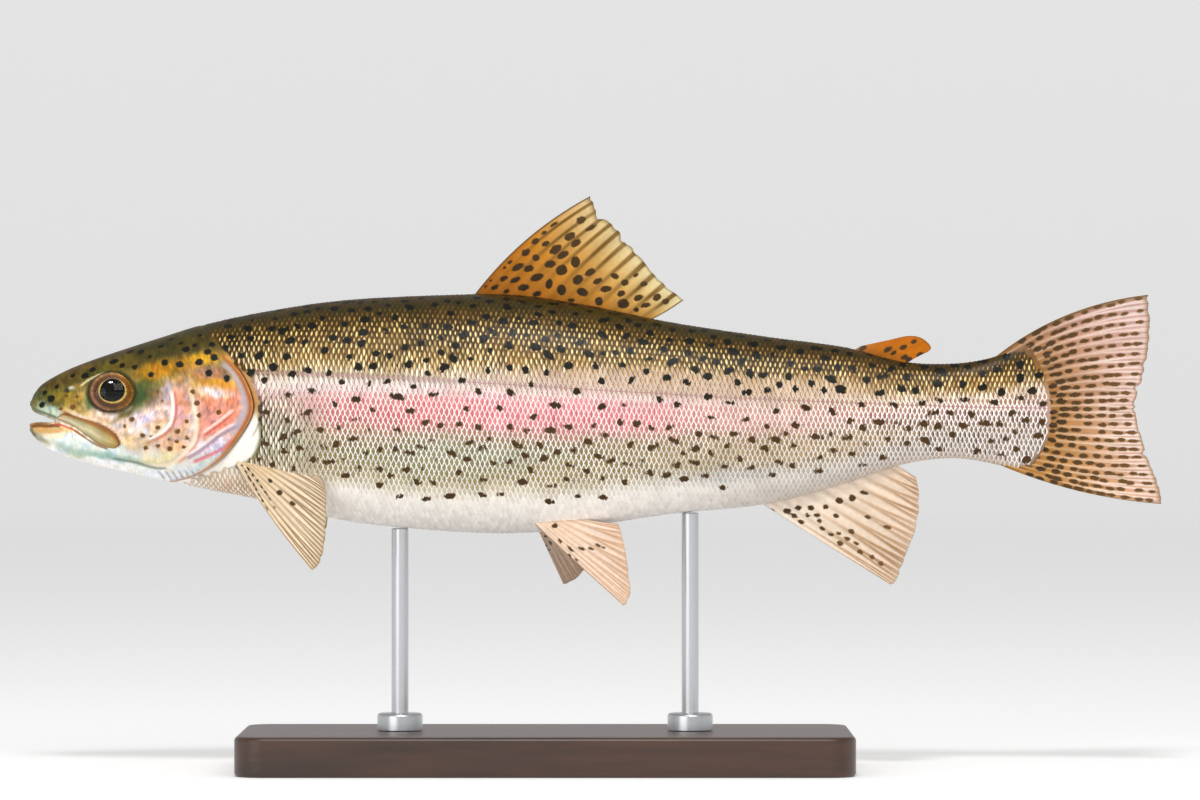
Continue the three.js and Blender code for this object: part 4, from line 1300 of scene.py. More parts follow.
@dataclass
class Skin:
    """The skin of head, body and tail stalk in one piece, with the mouth open a little at the front and a real
    fold under each gill cover's rear edge."""

    form: BodyForm
    livery: Livery
    spots: Spots
    finishes: Finishes
    upper_tip: float = -199.85
    lower_tip: float = -200.0
    corner: float = -168.4
    mouth_rows: int = 66
    gill_row: float = -130.0
    warp_start: float = -168.0
    warp_end: float = -90.0
    tail_row: float = 159.0
    tail_warp_start: float = 126.0
    head_step: float = 0.45
    columns: int = 62
    coat_depth: float = 0.30
    lip_radius: float = 0.55
    lip_gap: float = 0.12
    lip_turn: float = 150.0
    arch: float = 2.4
    edge_swell: float = 0.42
    tip_reach: float = 30.8
    map_from: float = -204.0  # the skin's share of the bake's map: from this X, over this length
    map_length: float = 372.0
    upper_map: tuple[float, float] = (0.01, 0.45)  # and the start and span of each jaw's band
    lower_map: tuple[float, float] = (0.47, 0.45)
    roll_steps: int = 5
    lower_lip: Points = (
        (-203, 122.0), (-200.1, 122.1), (-197.2, 122.4), (-192.9, 122.3), (-189.2, 122.9), (-183.9, 120.6),
        (-179.8, 117.3), (-173.8, 114.3), (-168.2, 112.6), (-160.2, 109.6), (-156.8, 105.4), (-156.5, 98),
    )
    upper_lip: Points = (
        (-203, 133), (-200.2, 130.0), (-199.8, 128.8), (-199.2, 127.7), (-197.6, 126.7), (-194.4, 125.5),
        (-191.2, 124.2), (-187.9, 122.75),
    )
    lips_meet: float = -188.4
    # behind the edge and above the surface, one pair to a row: over the lip, down, forwards under it, then back
    fold: Points = (
        (-1.6, 0.42), (-0.9, 0.46), (-0.4, 0.46), (0.0, 0.40), (0.22, 0.22), (0.28, 0.0), (0.18, -0.22), (-0.15, -0.42),
        (-0.6, -0.62), (-1.0, -0.85), (-1.1, -1.05), (-0.9, -1.2), (-0.4, -1.22), (0.3, -1.1), (1.0, -0.92),
        (1.8, -0.7), (2.8, -0.48), (4.0, -0.32),
    )
    # where the fold's rows lie behind the edge at its ends, spread evenly and flat
    flat_fold: tuple[float, float] = (-1.2, 4.0)

    def lip_heights(self, x: Array) -> tuple[Array, Array]:
        """The heights of the upper and the lower lip at x; behind the place where they meet, both are one line."""
        low = Curve(self.lower_lip).line(220)
        high = Curve(self.upper_lip).line(80)
        lower = np.interp(x, low[:, 0], low[:, 1])
        upper = np.where(x < self.lips_meet, np.interp(x, high[:, 0], high[:, 1]), lower + self.lip_gap)
        return np.maximum(upper, lower + self.lip_gap), lower

    def row_places(self) -> tuple[Array, Array, Array]:
        """The rows' places along X before they are bent to the gill edge, and the fold's two measures at each."""
        mouth = self.lower_tip + (self.corner - self.lower_tip) * np.linspace(0, 1, self.mouth_rows + 1) ** 1.25
        head = np.arange(self.corner + self.head_step, self.gill_row - 1.7, self.head_step)
        fold = np.array(self.fold)
        shoulder = np.arange(self.gill_row + 4.6, self.warp_end, 0.8)
        body = np.linspace(self.warp_end, self.tail_row, 110)
        places = np.concatenate([mouth, head, np.full(len(fold), self.gill_row), shoulder, body])
        behind = np.zeros(len(places))
        above = np.zeros(len(places))
        start = len(mouth) + len(head)
        behind[start + len(fold) :] = places[start + len(fold) :] - self.gill_row
        behind[start : start + len(fold)] = fold[:, 0]
        above[start : start + len(fold)] = fold[:, 1]
        above[start + len(fold) :] = -self.coat_depth
        self.fold_rows = slice(start, start + len(fold))
        return places, behind, above

    def fold_strength(self, share: Array) -> Array:
        """1 along the open part of the gill slit, falling to 0 at the nape and at the throat."""
        z = self.form.height(np.full(np.shape(share), self.gill_row), share)
        return (1 - smoothstep(139.0, 146.5, z)) * (1 - smoothstep(0.93, 0.985, share))

    def bent(self, place: Array, behind: Array, share: Array) -> tuple[Array, Array]:
        """Bends rows so that one follows the gill edge and the last one the tail margin.

        Args:
            place, behind: each row's place and its fold measure, as a column.
            share: how far round each point lies.

        Returns:
            x and the share of the way round of each point.
        """
        form = self.form
        edge = np.interp(share, *form.gill)
        ahead = np.clip((place - self.warp_start) / (self.gill_row - self.warp_start), 0, 1)
        after = np.clip((self.warp_end - place) / (self.warp_end - self.gill_row), 0, 1)
        pull = np.minimum(ahead, after)
        x = place + pull * (edge - self.gill_row)
        girth = form.girth(edge)
        shares, places = form.gill
        lean = np.interp(share, shares, np.gradient(places, shares + 1e-9 * np.arange(len(shares))))
        lean = np.clip(lean, -4 * girth, 4 * girth)
        length = np.hypot(girth, lean)
        strength = self.fold_strength(share)
        turned = behind * strength * (1 - smoothstep(4, 24, behind))
        plain = np.zeros_like(behind)
        plain[self.fold_rows, 0] = np.linspace(*self.flat_fold, len(self.fold))
        rest = np.where(place > self.gill_row, -turned, (1 - strength) * plain)
        x = x + turned * girth / length + rest
        share = share - turned * lean / length / girth
        tail = np.clip((place - self.tail_warp_start) / (self.tail_row - self.tail_warp_start), 0, 1)
        x = x + tail * (np.interp(share, *form.tail) - self.tail_row)
        return x, np.clip(share, 0, 1)

    def relief(self, x: Array, z: Array) -> Array:
        """Height of the head's own forms above the plain surface, in millimetres."""
        height = np.zeros(x.shape)
        for path, rise, width in (
            (CHEEK_CREASE, -0.35, 0.7), (PREOPERCLE, -0.45, 0.8), (SUBOPERCLE_RIDGE, -0.3, 0.6),
            (INTEROPERCLE_RIDGE, -0.28, 0.6), (THROAT_LINE, -0.4, 0.8), (OPERCLE_RIDGE, 0.22, 0.7),
            (shifted(PREOPERCLE, -1.6, 0.7), 0.45, 2.2), (shifted(CHEEK_CREASE, -1.6, 0.7), 0.3, 2.4),
        ):
            gap, along = from_line(x, z, Curve(path).line(24))
            height += rise * band(along, 0, 0.1, 0.9, 1) * bell(gap, width)
        for path in GILL_STROKES:
            gap, _ = from_line(x, z, np.array(path))
            height += -0.18 * bell(gap, 0.5)
        for px, pz, radius, depth in ((-187.2, 134.0, 0.75, -0.9), (-185.2, 134.3, 0.6, -0.5)):
            far = np.hypot(x - px, z - pz)
            height += depth * bell(far, radius) + 0.25 * bell(far - 1.5, 0.5)
        return height + self.socket(x, z)

    @staticmethod
    def socket(x: Array, z: Array) -> Array:
        """The dip that holds the eye and the low rim round it."""
        far = np.hypot((x - EYE_X) / 8.0, (z - EYE_Z) / 6.85)
        rim = 0.30 * bell(far - 1.06, 0.08)
        return rim - 2.6 * (1 - smoothstep(0.90, 1.0, far)) - 0.15 * (1 - smoothstep(1.1, 1.7, far))

    def half_grid(self, share: Array, tip: float) -> tuple[Array, Array, Array]:
        """The right side's points for rows and columns at given shares of the way round.

        Args:
            share: how far round each point lies, one row to each row of the skin.
            tip: where this jaw starts.

        Returns:
            The points, and the x and share that each was taken at.
        """
        place, behind, above = (a[:, None] for a in self.row_places())
        stretch = np.clip((self.corner - place) / (self.corner - self.lower_tip), 0, 1)
        place = place + (tip - self.lower_tip) * stretch
        x, share = self.bent(place, behind, share)
        strength = self.fold_strength(share)
        rows = np.arange(len(place))[:, None]
        count = self.fold_rows.stop - self.fold_rows.start
        through = np.clip((rows - self.fold_rows.start) / count, 0, 1)
        covered = smoothstep(-0.8, 1.0, x - np.interp(share, *self.form.starts))
        lift = above * strength - (1 - strength) * self.coat_depth * np.maximum(through, covered)
        lift = np.where(rows >= self.fold_rows.stop, -self.coat_depth, lift)
        seen_x, z = self.form.seen(x, share)
        head = rows < self.fold_rows.start
        swell = self.edge_swell * smoothstep(-7, -1.6, x - np.interp(share, *self.form.gill)) * strength
        bare_lift = (self.relief(seen_x, z) + swell) * (1 - covered) - self.coat_depth * covered
        lift = np.where(head, bare_lift, lift)
        return self.form.surface(x, share, Side.RIGHT, lift), x, share

    def both_sides(self, share: Array, tip: float, start: float, span: float) -> Grid:
        """A patch that runs from the left side over the midline to the right side.

        Args:
            share: how far round each point lies on one side, midline first.
            tip: where this jaw starts.
            start, span: the band of the bake's map that this patch fills.

        Returns:
            The patch, with its markings.
        """
        points, x, share = self.half_grid(share, tip)
        ending = points[-1:] * (1, 0, 1) + (0.5, 0, 0)
        points = np.concatenate([points, ending])
        x, share = np.concatenate([x, x[-1:]]), np.concatenate([share, share[-1:]])
        colour = self.livery.skin_colour(x, share)
        # painted shade: rows deep in the gill slit turned dark red
        deep = np.clip(self.shade_of_fold(len(x))[:, None] * self.fold_strength(share), 0, 1)
        colour = mix(colour, linear((92, 44, 24)), deep)
        left = points * (1, -1, 1)
        values: dict[str, Array] = {"paint": np.concatenate([colour[:, :0:-1], colour], axis=1)}
        spots = {side: self.spots.everywhere(x, share, side) for side in Side}
        for key, index in (("spot", 0), ("tone", 1)):
            values[key] = np.concatenate([spots[Side.LEFT][index][:, :0:-1], spots[Side.RIGHT][index]], axis=1)
        across = np.abs(share - share[:, :1]) * self.form.girth(x) / MAP_GIRTH
        across = np.concatenate([-across[:, :0:-1], across], axis=1)
        along = (np.concatenate([x[:, :0:-1], x], axis=1) - self.map_from) / self.map_length
        place = np.stack([along, start + span / 2 + across * span / 2], axis=-1)
        return Grid(np.concatenate([left[:, :0:-1], points], axis=1), values, place)

    def shade_of_fold(self, rows: int) -> Array:
        """How deep in the gill slit each row lies, for the dark red painted shade there."""
        shade = np.zeros(rows)
        depth = np.array(self.fold)[:, 1]
        shade[self.fold_rows] = smoothstep(-0.1, -0.7, depth) * (np.arange(len(depth)) < len(depth) - 4)
        return shade

    def inner_mouth(self, outer: Grid, upper: bool) -> list[Grid]:
        """The lining of one jaw: the lip rolled inwards on each side, a shallow arch between, and the front.

        The arch is z = lip + rise (1 - w^2), where w runs from -1 at the left lip to 1 at the right.

        Args:
            outer: the jaw's outer patch.
            upper: True for the upper jaw.

        Returns:
            The lining and the front, as patches.
        """
        rows = self.mouth_rows + 1
        columns = outer.points.shape[1]
        lip = outer.points[:rows, -1]
        beside = outer.points[:rows, -3]
        way = 1.0 if upper else -1.0
        x, y, z = lip[:, 0], lip[:, 1], lip[:, 2]
        closing = 1 - smoothstep(-175.0, self.corner, x)
        radius = np.minimum(self.lip_radius, 0.22 * y) * closing
        slope = lip - beside
        slope /= np.maximum(np.linalg.norm(slope, axis=1, keepdims=True), 1e-9)
        turn = np.linspace(0, math.radians(self.lip_turn), self.roll_steps + 1)[1:]
        inward = np.stack([np.zeros(rows), -np.ones(rows), np.zeros(rows)], axis=1)
        roll = lip[:, None] + radius[:, None, None] * (
            np.sin(turn)[None, :, None] * slope[:, None] + (1 - np.cos(turn))[None, :, None] * inward[:, None]
        )
        last = roll[:, -1]
        middle = columns - 2 * (self.roll_steps + 1)
        w = np.linspace(1, -1, middle + 2)[1:-1]
        thick = np.abs(outer.points[:rows, columns // 2, 2] - z)
        rise = np.minimum(self.arch, 0.55 * thick) * closing * way
        arch = np.stack(
            [
                np.repeat(last[:, :1], middle, axis=1),
                last[:, 1:2] * w[None],
                last[:, 2:3] + rise[:, None] * (1 - np.abs(w[None]) ** 2.5),
            ],
            axis=-1,
        )
        right = np.concatenate([lip[:, None], roll], axis=1)
        left = (right * (1, -1, 1))[:, ::-1]
        inner = np.concatenate([right, arch, left], axis=1)[:, ::-1]
        front = self.front_of_jaw(outer.points[0], inner[0])
        patches = []
        for points, place in ((inner, (0.01, 0.93)), (front, (0.2, 0.93))):
            r, c = points.shape[:2]
            grid_place = np.stack(np.meshgrid(np.linspace(0, 0.15, c), np.linspace(0, 0.03, r)), axis=-1) + place
            grid_place = grid_place + ((0.0, 0.0) if upper else (0.4, 0.0))
            patches.append(Grid(points, self.lining_values(points, outer, r), grid_place))
        return patches

    @staticmethod
    def front_of_jaw(outside: Array, inside: Array) -> Array:
        """Rows from the outer skin's first row round the front to the lining's, pushed forwards by sin(pi s)."""
        s = np.linspace(0, 1, 6)[:, None, None]
        rows = outside[None] * (1 - s) + inside[None] * s
        rows[..., 0] -= 0.35 * np.sin(math.pi * s[..., 0])
        return rows

    def lining_values(self, points: Array, outer: Grid, rows: int) -> dict[str, Array]:
        """The lining's colours: the lip's own at its edge, then flesh pink, darker towards the back."""
        shape = points.shape[:2]
        edge = outer.values["paint"][: self.mouth_rows + 1, -1]
        edge = edge[:rows, None] if rows == self.mouth_rows + 1 else outer.values["paint"][0][None]
        flesh = mix(linear((214, 168, 156)), linear((120, 66, 60)), smoothstep(-199, -186, points[..., 0]))
        if rows == self.mouth_rows + 1:
            inside = 1 - smoothstep(0.86, 0.97, np.abs(np.linspace(-1, 1, shape[1])))[None]
        else:
            inside = smoothstep(0.7, 1.0, np.linspace(0, 1, shape[0]))[:, None]
        return unspotted(np.broadcast_to(mix(edge, flesh, inside), (*shape, 3)))

    def build(self) -> bpy.types.Object:
        """Builds the skin: upper and lower outer patches, split at the lips, and the linings that join them."""
        place, _, _ = self.row_places()
        upper_x = place + (self.upper_tip - self.lower_tip) * np.clip((self.corner - place) / self.tip_reach, 0, 1)
        in_mouth = place <= self.corner
        high = self.form.share_at(upper_x, self.lip_heights(upper_x)[0])
        low = self.form.share_at(place, self.lip_heights(place)[1])
        corner = low[self.mouth_rows]
        relaxed = corner + (0.5 - corner) * smoothstep(self.corner, -120, place)
        high = np.where(in_mouth, high, relaxed)
        low = np.where(in_mouth, low, relaxed)
        high[self.mouth_rows] = low[self.mouth_rows] = corner
        steps = np.linspace(0, 1, self.columns + 1)[None]
        upper = self.both_sides(high[:, None] * steps, self.upper_tip, *self.upper_map)
        lower = self.both_sides(1 - (1 - low[:, None]) * steps, self.lower_tip, *self.lower_map)
        grids = [upper, lower, *self.inner_mouth(upper, True), *self.inner_mouth(lower, False)]
        piece = from_grids("trout_skin", grids)
        nodes = ("head", "lower_jaw", "gill_cover_left", "gill_cover_right", "trunk", "tail_stalk")
        return finish_piece(piece, self.finishes.skin, nodes)


@dataclass
class JawPlates:
    """The long plate along each side of the upper jaw, lying on the cheek."""

    form: BodyForm
    livery: Livery
    finishes: Finishes
    upper_edge: Points = (
        (-189.9, 124.6), (-187.8, 126.0), (-183.8, 125.1), (-179.8, 124.0), (-173.8, 121.7), (-169.1, 118.1),
        (-167.7, 115.3),
    )
    lower_edge: Points = (
        (-189.9, 124.0), (-188.3, 123.4), (-184.0, 121.4), (-179.7, 118.4), (-174.9, 115.0), (-170.0, 113.7),
        (-167.8, 114.9),
    )
    proud: float = 0.62
    sunk: float = 0.9
    long_steps: int = 64
    cross_steps: int = 18

    def colour(self, along: Array, across: Array) -> Array:
        """Brown and grey-green ahead to olive tan behind, a paler band inside that is a painted highlight along the
        plate's crest, and brown edges all round.
        """
        stops = (0, 0.12, 0.3, 0.55, 0.8, 1.0)
        table = ((146, 100, 46), (178, 156, 108), (168, 158, 118), (182, 172, 122), (174, 148, 84), (124, 96, 48))
        base = gradient(along, stops, table)
        # painted highlight: a pale band along the plate's crest
        pale = bell(across - 0.15, 0.28) * (1 - smoothstep(0.6, 0.9, along)) * 0.5
        foot = np.maximum(smoothstep(0.62, 0.95, across), smoothstep(0.93, 0.99, along)) * 0.8
        base = mix(base, (236, 222, 204), pale)
        base = mix(base, (138, 82, 30), smoothstep(0.35, 0.9, -across) * 0.9)
        base = mix(base, (142, 100, 62), foot)
        streak = ripple(along * 9, across * 2.2, 1.0, 33)[..., None] - 0.5
        return linear(base * (1 + 0.16 * streak))

    def build(self) -> None:
        """Builds both plates: height = proud (1 - w^4) over the skin across w, closed by a flat inner face."""
        long, cross = np.linspace(0, 1, self.long_steps + 1), np.linspace(-1, 1, self.cross_steps + 1)
        u, w = np.meshgrid(long, cross, indexing="ij")
        top, bottom = Curve(self.upper_edge).at(u), Curve(self.lower_edge).at(u)
        place = mix(top, bottom, (w + 1) / 2)
        ends = np.clip(np.minimum(u / 0.22, (1 - u) / 0.06), 0, 1) ** 0.6
        rise = self.proud * np.clip(1 - np.abs(w) ** 3.5, 0, 1) ** 0.6 * ends
        groove = 0.10 * bell(w + 0.45, 0.12) * ends
        for side in Side:
            outer = self.form.side_place(place[..., 0], place[..., 1], side, rise - groove - 0.02)
            inner = self.form.side_place(place[..., 0], place[..., 1], side, np.minimum(-0.02, -self.sunk * ends))
            values = unspotted(self.colour(u, w))
            grids = [Grid(outer, values), Grid(inner, values)]
            for axis in (0, 1):
                for end in (0, -1):
                    edge = np.stack([outer.take(end, axis), inner.take(end, axis)], axis=axis)
                    edge_values = {k: np.stack([v.take(end, axis)] * 2, axis=axis) for k, v in values.items()}
                    grids.append(Grid(edge, edge_values))
            piece = from_grids(f"jaw_plate_{side.label}", grids)
            finish_piece(piece, self.finishes.skin, (f"upper_jaw_{side.label}",))


# ---------------------------------------------------------------------------------------------------------------
# Eyes


@dataclass
class Eyes:
    """Both eyes: a coloured ball, a black pupil set in it and a clear dome over both."""

    finishes: Finishes
    centre: tuple[float, float, float] = (-170.4, 11.9, 133.4)
    half: tuple[float, float, float] = (8.5, 4.7, 7.5)
    tilt_up: float = 0.16
    tilt_ahead: float = 0.1
    iris_depth: float = 0.86
    pupil: tuple[float, float] = (4.2, 4.0)
    pupil_rise: float = 0.35
    pupil_depth: tuple[float, float] = (0.75, -0.42)  # half its depth, and its place against the iris
    dome: tuple[float, float] = (0.12, -0.3)  # the clear dome's outer face above the ball, its inner above the iris
    rings: int = 44
    spokes: int = 96

    def ball(self, radius: Array, depth: Array, angle: Array) -> Array:
        """Points of the right eye before it is set in place.

        Args:
            radius: share of the half length and half height.
            depth: distance outwards from the middle.
            angle: round the eye.

        Returns:
            The points: x = radius long cos, z = radius high sin, y = depth.
        """
        return np.stack([radius * self.half[0] * np.cos(angle), depth, radius * self.half[2] * np.sin(angle)], axis=-1)

    def place(self, points: Array, side: int) -> Array:
        """Turns points up and ahead, moves them into the head, and mirrors them for the left side."""
        c, s = math.cos(self.tilt_up), math.sin(self.tilt_up)
        x, y, z = points[..., 0], points[..., 1], points[..., 2]
        y, z = y * c - z * s, y * s + z * c
        c, s = math.cos(self.tilt_ahead), math.sin(self.tilt_ahead)
        x, y = x * c + y * s, -x * s + y * c
        return np.stack([x + self.centre[0], (y + self.centre[1]) * side, z + self.centre[2]], axis=-1)

    def iris_colour(self, radius: Array, angle: Array) -> Array:
        """Rings of colour from the pupil outwards, copper ahead and below, gold behind, with fine spokes."""
        stops = (0, 0.46, 0.52, 0.565, 0.60, 0.70, 0.78, 0.86, 0.92, 1.0)
        ahead = (
            (8, 8, 6), (24, 14, 4), (236, 208, 112), (206, 160, 66), (78, 40, 8), (62, 32, 6), (104, 56, 20),
            (176, 126, 84), (78, 40, 12), (22, 22, 6),
        )
        behind = (
            (8, 8, 6), (24, 14, 4), (244, 216, 116), (226, 182, 70), (132, 80, 8), (112, 66, 4), (160, 108, 18),
            (204, 156, 92), (96, 60, 14), (22, 22, 6),
        )
        both = (gradient(radius, stops, table) for table in (ahead, behind))
        colour = mix(*both, 0.5 + 0.5 * np.cos(angle - 0.4))
        spokes = ripple(angle * 14, radius * 2.2, 1.0, 31) - 0.5
        return linear(colour * (1 + 0.45 * spokes[..., None] * (radius[..., None] > 0.5)))

    def build(self) -> None:
        """Builds the six pieces."""
        round_eye = np.linspace(0, 2 * math.pi, self.spokes, endpoint=False)
        polar, angle = np.meshgrid(np.linspace(0, math.pi, self.rings + 1), round_eye, indexing="ij")
        radius = np.sin(polar)
        out = np.cos(polar)
        front = out > 0
        ball = self.ball(radius, out * self.half[1] * np.where(front, self.iris_depth, 1.0), angle)
        dome_radius, dome_angle = np.meshgrid(np.linspace(0, 0.985, 32), round_eye, indexing="ij")
        height = np.sqrt(1 - dome_radius**2) * self.half[1]
        outer = self.ball(dome_radius, height + self.dome[0], dome_angle)
        inner = self.ball(dome_radius, height * self.iris_depth + self.dome[1], dome_angle)
        pupil_polar, turn = np.meshgrid(np.linspace(0, math.pi, 25), round_eye, indexing="ij")
        reach = np.sin(pupil_polar) * (1 + 0.13 * np.clip(np.cos(turn - 3.7), 0, 1) ** 6)
        lens = np.stack(
            [
                reach * self.pupil[0] * np.cos(turn),
                np.cos(pupil_polar) * self.pupil_depth[0] + self.half[1] * self.iris_depth + self.pupil_depth[1],
                reach * self.pupil[1] * np.sin(turn) + self.pupil_rise,
            ],
            axis=-1,
        )
        for side in Side:
            colour = self.iris_colour(np.where(front, radius, 1.0), angle)
            for name, points, values, material, nodes in (
                ("eye_ball", ball, {"paint": colour}, self.finishes.iris, (f"eye_{side.label}",)),
                ("pupil", lens, {}, self.finishes.pupil, ()),
                ("cornea", np.concatenate([outer, inner[::-1]]), {}, self.finishes.cornea, ()),
            ):
                grid = Grid(self.place(points, side), values, wrap=True)
                finish_piece(from_grids(f"{name}_{side.label}", [grid]), material, nodes)


# ---------------------------------------------------------------------------------------------------------------
# The coat of scales


@dataclass
class Coat:
    """Scales in rows along the lateral line, each a thin closed wedge that lies over the one behind it."""

    form: BodyForm
    livery: Livery
    spots: Spots
    finishes: Finishes
    row_pitch: float = 2.2
    pitch: float = 1.78
    length: float = 2.75
    width: float = 3.87
    base: float = -0.30  # the skin's own depth below the outer surface
    patch: float = 0.003  # a scale's width on the bake's map
    map_from: float = -144.0
    map_length: float = 312.0
    margin: float = 0.9  # how far inside the coat's edges the scales' roots stay
    seed: int = 19
    most_faces: int = 190_000
    # rows of a scale: place along it, half width, rise
    rows_of_scale: tuple[tuple[float, float, float], ...] = (
        (-1.0, 0.55, -0.16), (-0.25, 0.98, 0.02), (0.50, 1.0, 0.13), (1.0, 0.74, 0.15),
    )
    across: tuple[float, ...] = (-1.0, -0.7, -0.35, 0.0, 0.35, 0.7, 1.0)

    def shrink(self, x: Array) -> Array:
        """How large scales are at x: the tenth root of the girth there over the largest."""
        return (self.form.girth(x) / self.form.half_girth.max()) ** 0.1

    def template(self) -> tuple[Array, list[Array]]:
        """One scale's points (along, across, rise) and its faces: a curved top and a flat underside."""
        points = []
        for along, half, rise in self.rows_of_scale:
            for w in self.across:
                pulled = along - (0.42 * w * w if along > 0.9 else 0.06 * w * w if along > 0 else 0.0)
                points.append((pulled, w * half, rise - 0.05 * w * w))
        rows, columns = len(self.rows_of_scale), len(self.across)
        index = np.arange(rows * columns).reshape(rows, columns)
        top = np.stack([index[:-1, :-1], index[1:, :-1], index[1:, 1:], index[:-1, 1:]], axis=-1).reshape(-1, 4)
        under = np.array([(index[r, 0], index[r, -1], index[r + 1, -1], index[r + 1, 0]) for r in range(rows - 1)])
        front = np.array([(0, i, i + 1) for i in range(1, columns - 1)])
        last = index[-1, 0]
        back = np.array([(last, last + i + 1, last + i) for i in range(1, columns - 1)])
        return np.array(points), [top, under, front, back]

    def places(self) -> dict[str, Array]:
        """Where the scales lie: rows k apart by the row pitch, alternate rows half a pitch further on."""
        stops = [-152.0]
        while stops[-1] < 161:
            stops.append(stops[-1] + self.pitch * float(self.shrink(np.array(stops[-1]))) / 2)
        x = np.array(stops)
        top = int(self.form.half_girth.max() / self.row_pitch) + 2
        k = np.arange(-top, top + 1)
        index, row = np.meshgrid(np.arange(len(x)), k, indexing="ij")
        chosen = (index + row) % 2 == 0
        x, k = x[index[chosen]], row[chosen].astype(float)
        distance = k * self.row_pitch * self.shrink(x)
        share = self.form.share_from(x, distance)
        start, end = np.interp(share, *self.form.starts), np.interp(share, *self.form.ends)
        kept = (share > 0.004) & (share < 0.996) & (x > start + self.margin) & (x < end - self.margin)
        return {"x": x[kept], "k": k[kept]}

    def build(self) -> None:
        """Builds the scales of both sides in joined pieces, each under the limit on faces."""
        shape, faces = self.template()
        found = self.places()
        per_scale = sum(len(f) * (f.shape[1] - 2) for f in faces)
        groups = int(math.ceil(len(found["x"]) * per_scale / self.most_faces))
        order = np.argsort(found["x"], kind="stable")
        for side in Side:
            rng = np.random.default_rng(self.seed + side)
            for number, chosen in enumerate(np.array_split(order, groups)):
                name = f"scales_{side.label}_{number + 1}"
                self.build_group(name, found["x"][chosen], found["k"][chosen], side, shape, faces, rng)

    def build_group(
        self, name: str, x: Array, k: Array, side: int, shape: Array, faces: list[Array], rng: np.random.Generator
    ) -> None:
        """Builds one joined piece of scales.

        Args:
            name: the piece's name.
            x, k: each scale's place along X and its row.
            side: the fish's side.
            shape, faces: one scale's points and faces.
            rng: the source of small differences.
        """
        count, each = len(x), len(shape)
        shrink = self.shrink(x)
        size = 1 + rng.uniform(-0.05, 0.05, (count, 1))
        jolt = rng.uniform(-1, 1, (count, 3)) * (0.06, 0.05, 0.02)
        root_share = np.clip(self.form.share_from(x, k * self.row_pitch * shrink), 0, 1)
        along = x[:, None] + shape[None, :, 0] * self.length / 2 * shrink[:, None] * size + jolt[:, :1]
        row = k[:, None] + shape[None, :, 1] * self.width / 2 / self.row_pitch * size + jolt[:, 1:2]
        distance = row * self.row_pitch * self.shrink(along)
        share = self.form.share_from(along, distance)
        line = bell(k[:, None], 0.6) * 0.10
        rise = shape[None, :, 2] + jolt[:, 2:] + line * (shape[None, :, 0] > 0.2)
        lift = self.base + rise * (0.6 + 0.4 * shrink[:, None])
        lift = lift * (1 - 0.3 * smoothstep(148, 160, along))
        points = self.form.surface(along, share, side, lift)
        spot, tone = self.spots.everywhere(along, np.clip(share, 0, 1), side)
        colour = self.livery.skin_colour(x, root_share)
        colour = colour * (1 + rng.uniform(-0.10, 0.10, (count, 1)))
        marks = self.livery.scale_marks(x, root_share, rng.random(count))
        z = self.form.height(x, root_share)
        lean = 0.5 * (ripple(x, z, 11.0, 51) - 0.5) + rng.uniform(-0.08, 0.08, count)
        narrow = rng.uniform(0.8, 1.35, count)
        # above the lateral line the dashes are shorter, nearly round
        low = narrow * (1.5 - 0.5 * smoothstep(-6, -2, k))
        ahead = shape[None, :, 0] - 0.42 + lean[:, None] * shape[None, :, 1]
        pore = (np.abs(k) < 0.5) & (x > -124)
        edge = shape[None, :, 0] + 0.6 * shape[None, :, 1] ** 2 + 0.10 * smoothstep(60, 120, x)[:, None]
        cell = np.stack([ahead * narrow[:, None], shape[None, :, 1] * low[:, None], edge], axis=-1)
        # the lateral line's scales carry their dash lengthways
        cell[pore, :, 0], cell[pore, :, 1] = shape[:, 1] * 2.4, shape[:, 0] * 0.5
        marks["mark"][pore] = linear((166, 118, 134))
        marks["trim"][pore, 0] = 0.85
        values = {
            "paint": np.repeat(colour, each, axis=0),
            "spot": (spot + rng.uniform(-0.45, 0.45, (count, 1))).ravel(),
            "tone": tone.ravel(),
            "mark": np.repeat(marks["mark"], each, axis=0),
            "trim": np.repeat(marks["trim"], each, axis=0),
            "cell": cell.reshape(-1, 3),
        }
        across = (root_share * self.form.girth(x)) / MAP_GIRTH
        root = np.stack([(x - self.map_from) / self.map_length, 0.5 + side * 0.48 * across], axis=-1)
        place = root[:, None] + shape[None, :, :2] * self.patch / 2
        starts = (np.arange(count) * each)[:, None, None]
        all_faces = [(f[None] + starts).reshape(-1, f.shape[1]) for f in faces]
        if side == Side.LEFT:
            all_faces = [f[:, ::-1] for f in all_faces]
        piece = build_mesh(name, points.reshape(-1, 3), all_faces, values, place.reshape(-1, 2), crease=50)
        finish_piece(piece, self.finishes.scale, ())


# ---------------------------------------------------------------------------------------------------------------
# Fins


@dataclass(frozen=True)
class Pose:
    """How a paired fin hangs: from a line along X at a hinge, turned in its own plane and swung out."""

    hinge: tuple[float, float]
    splay: float
    turn: float = 0.0


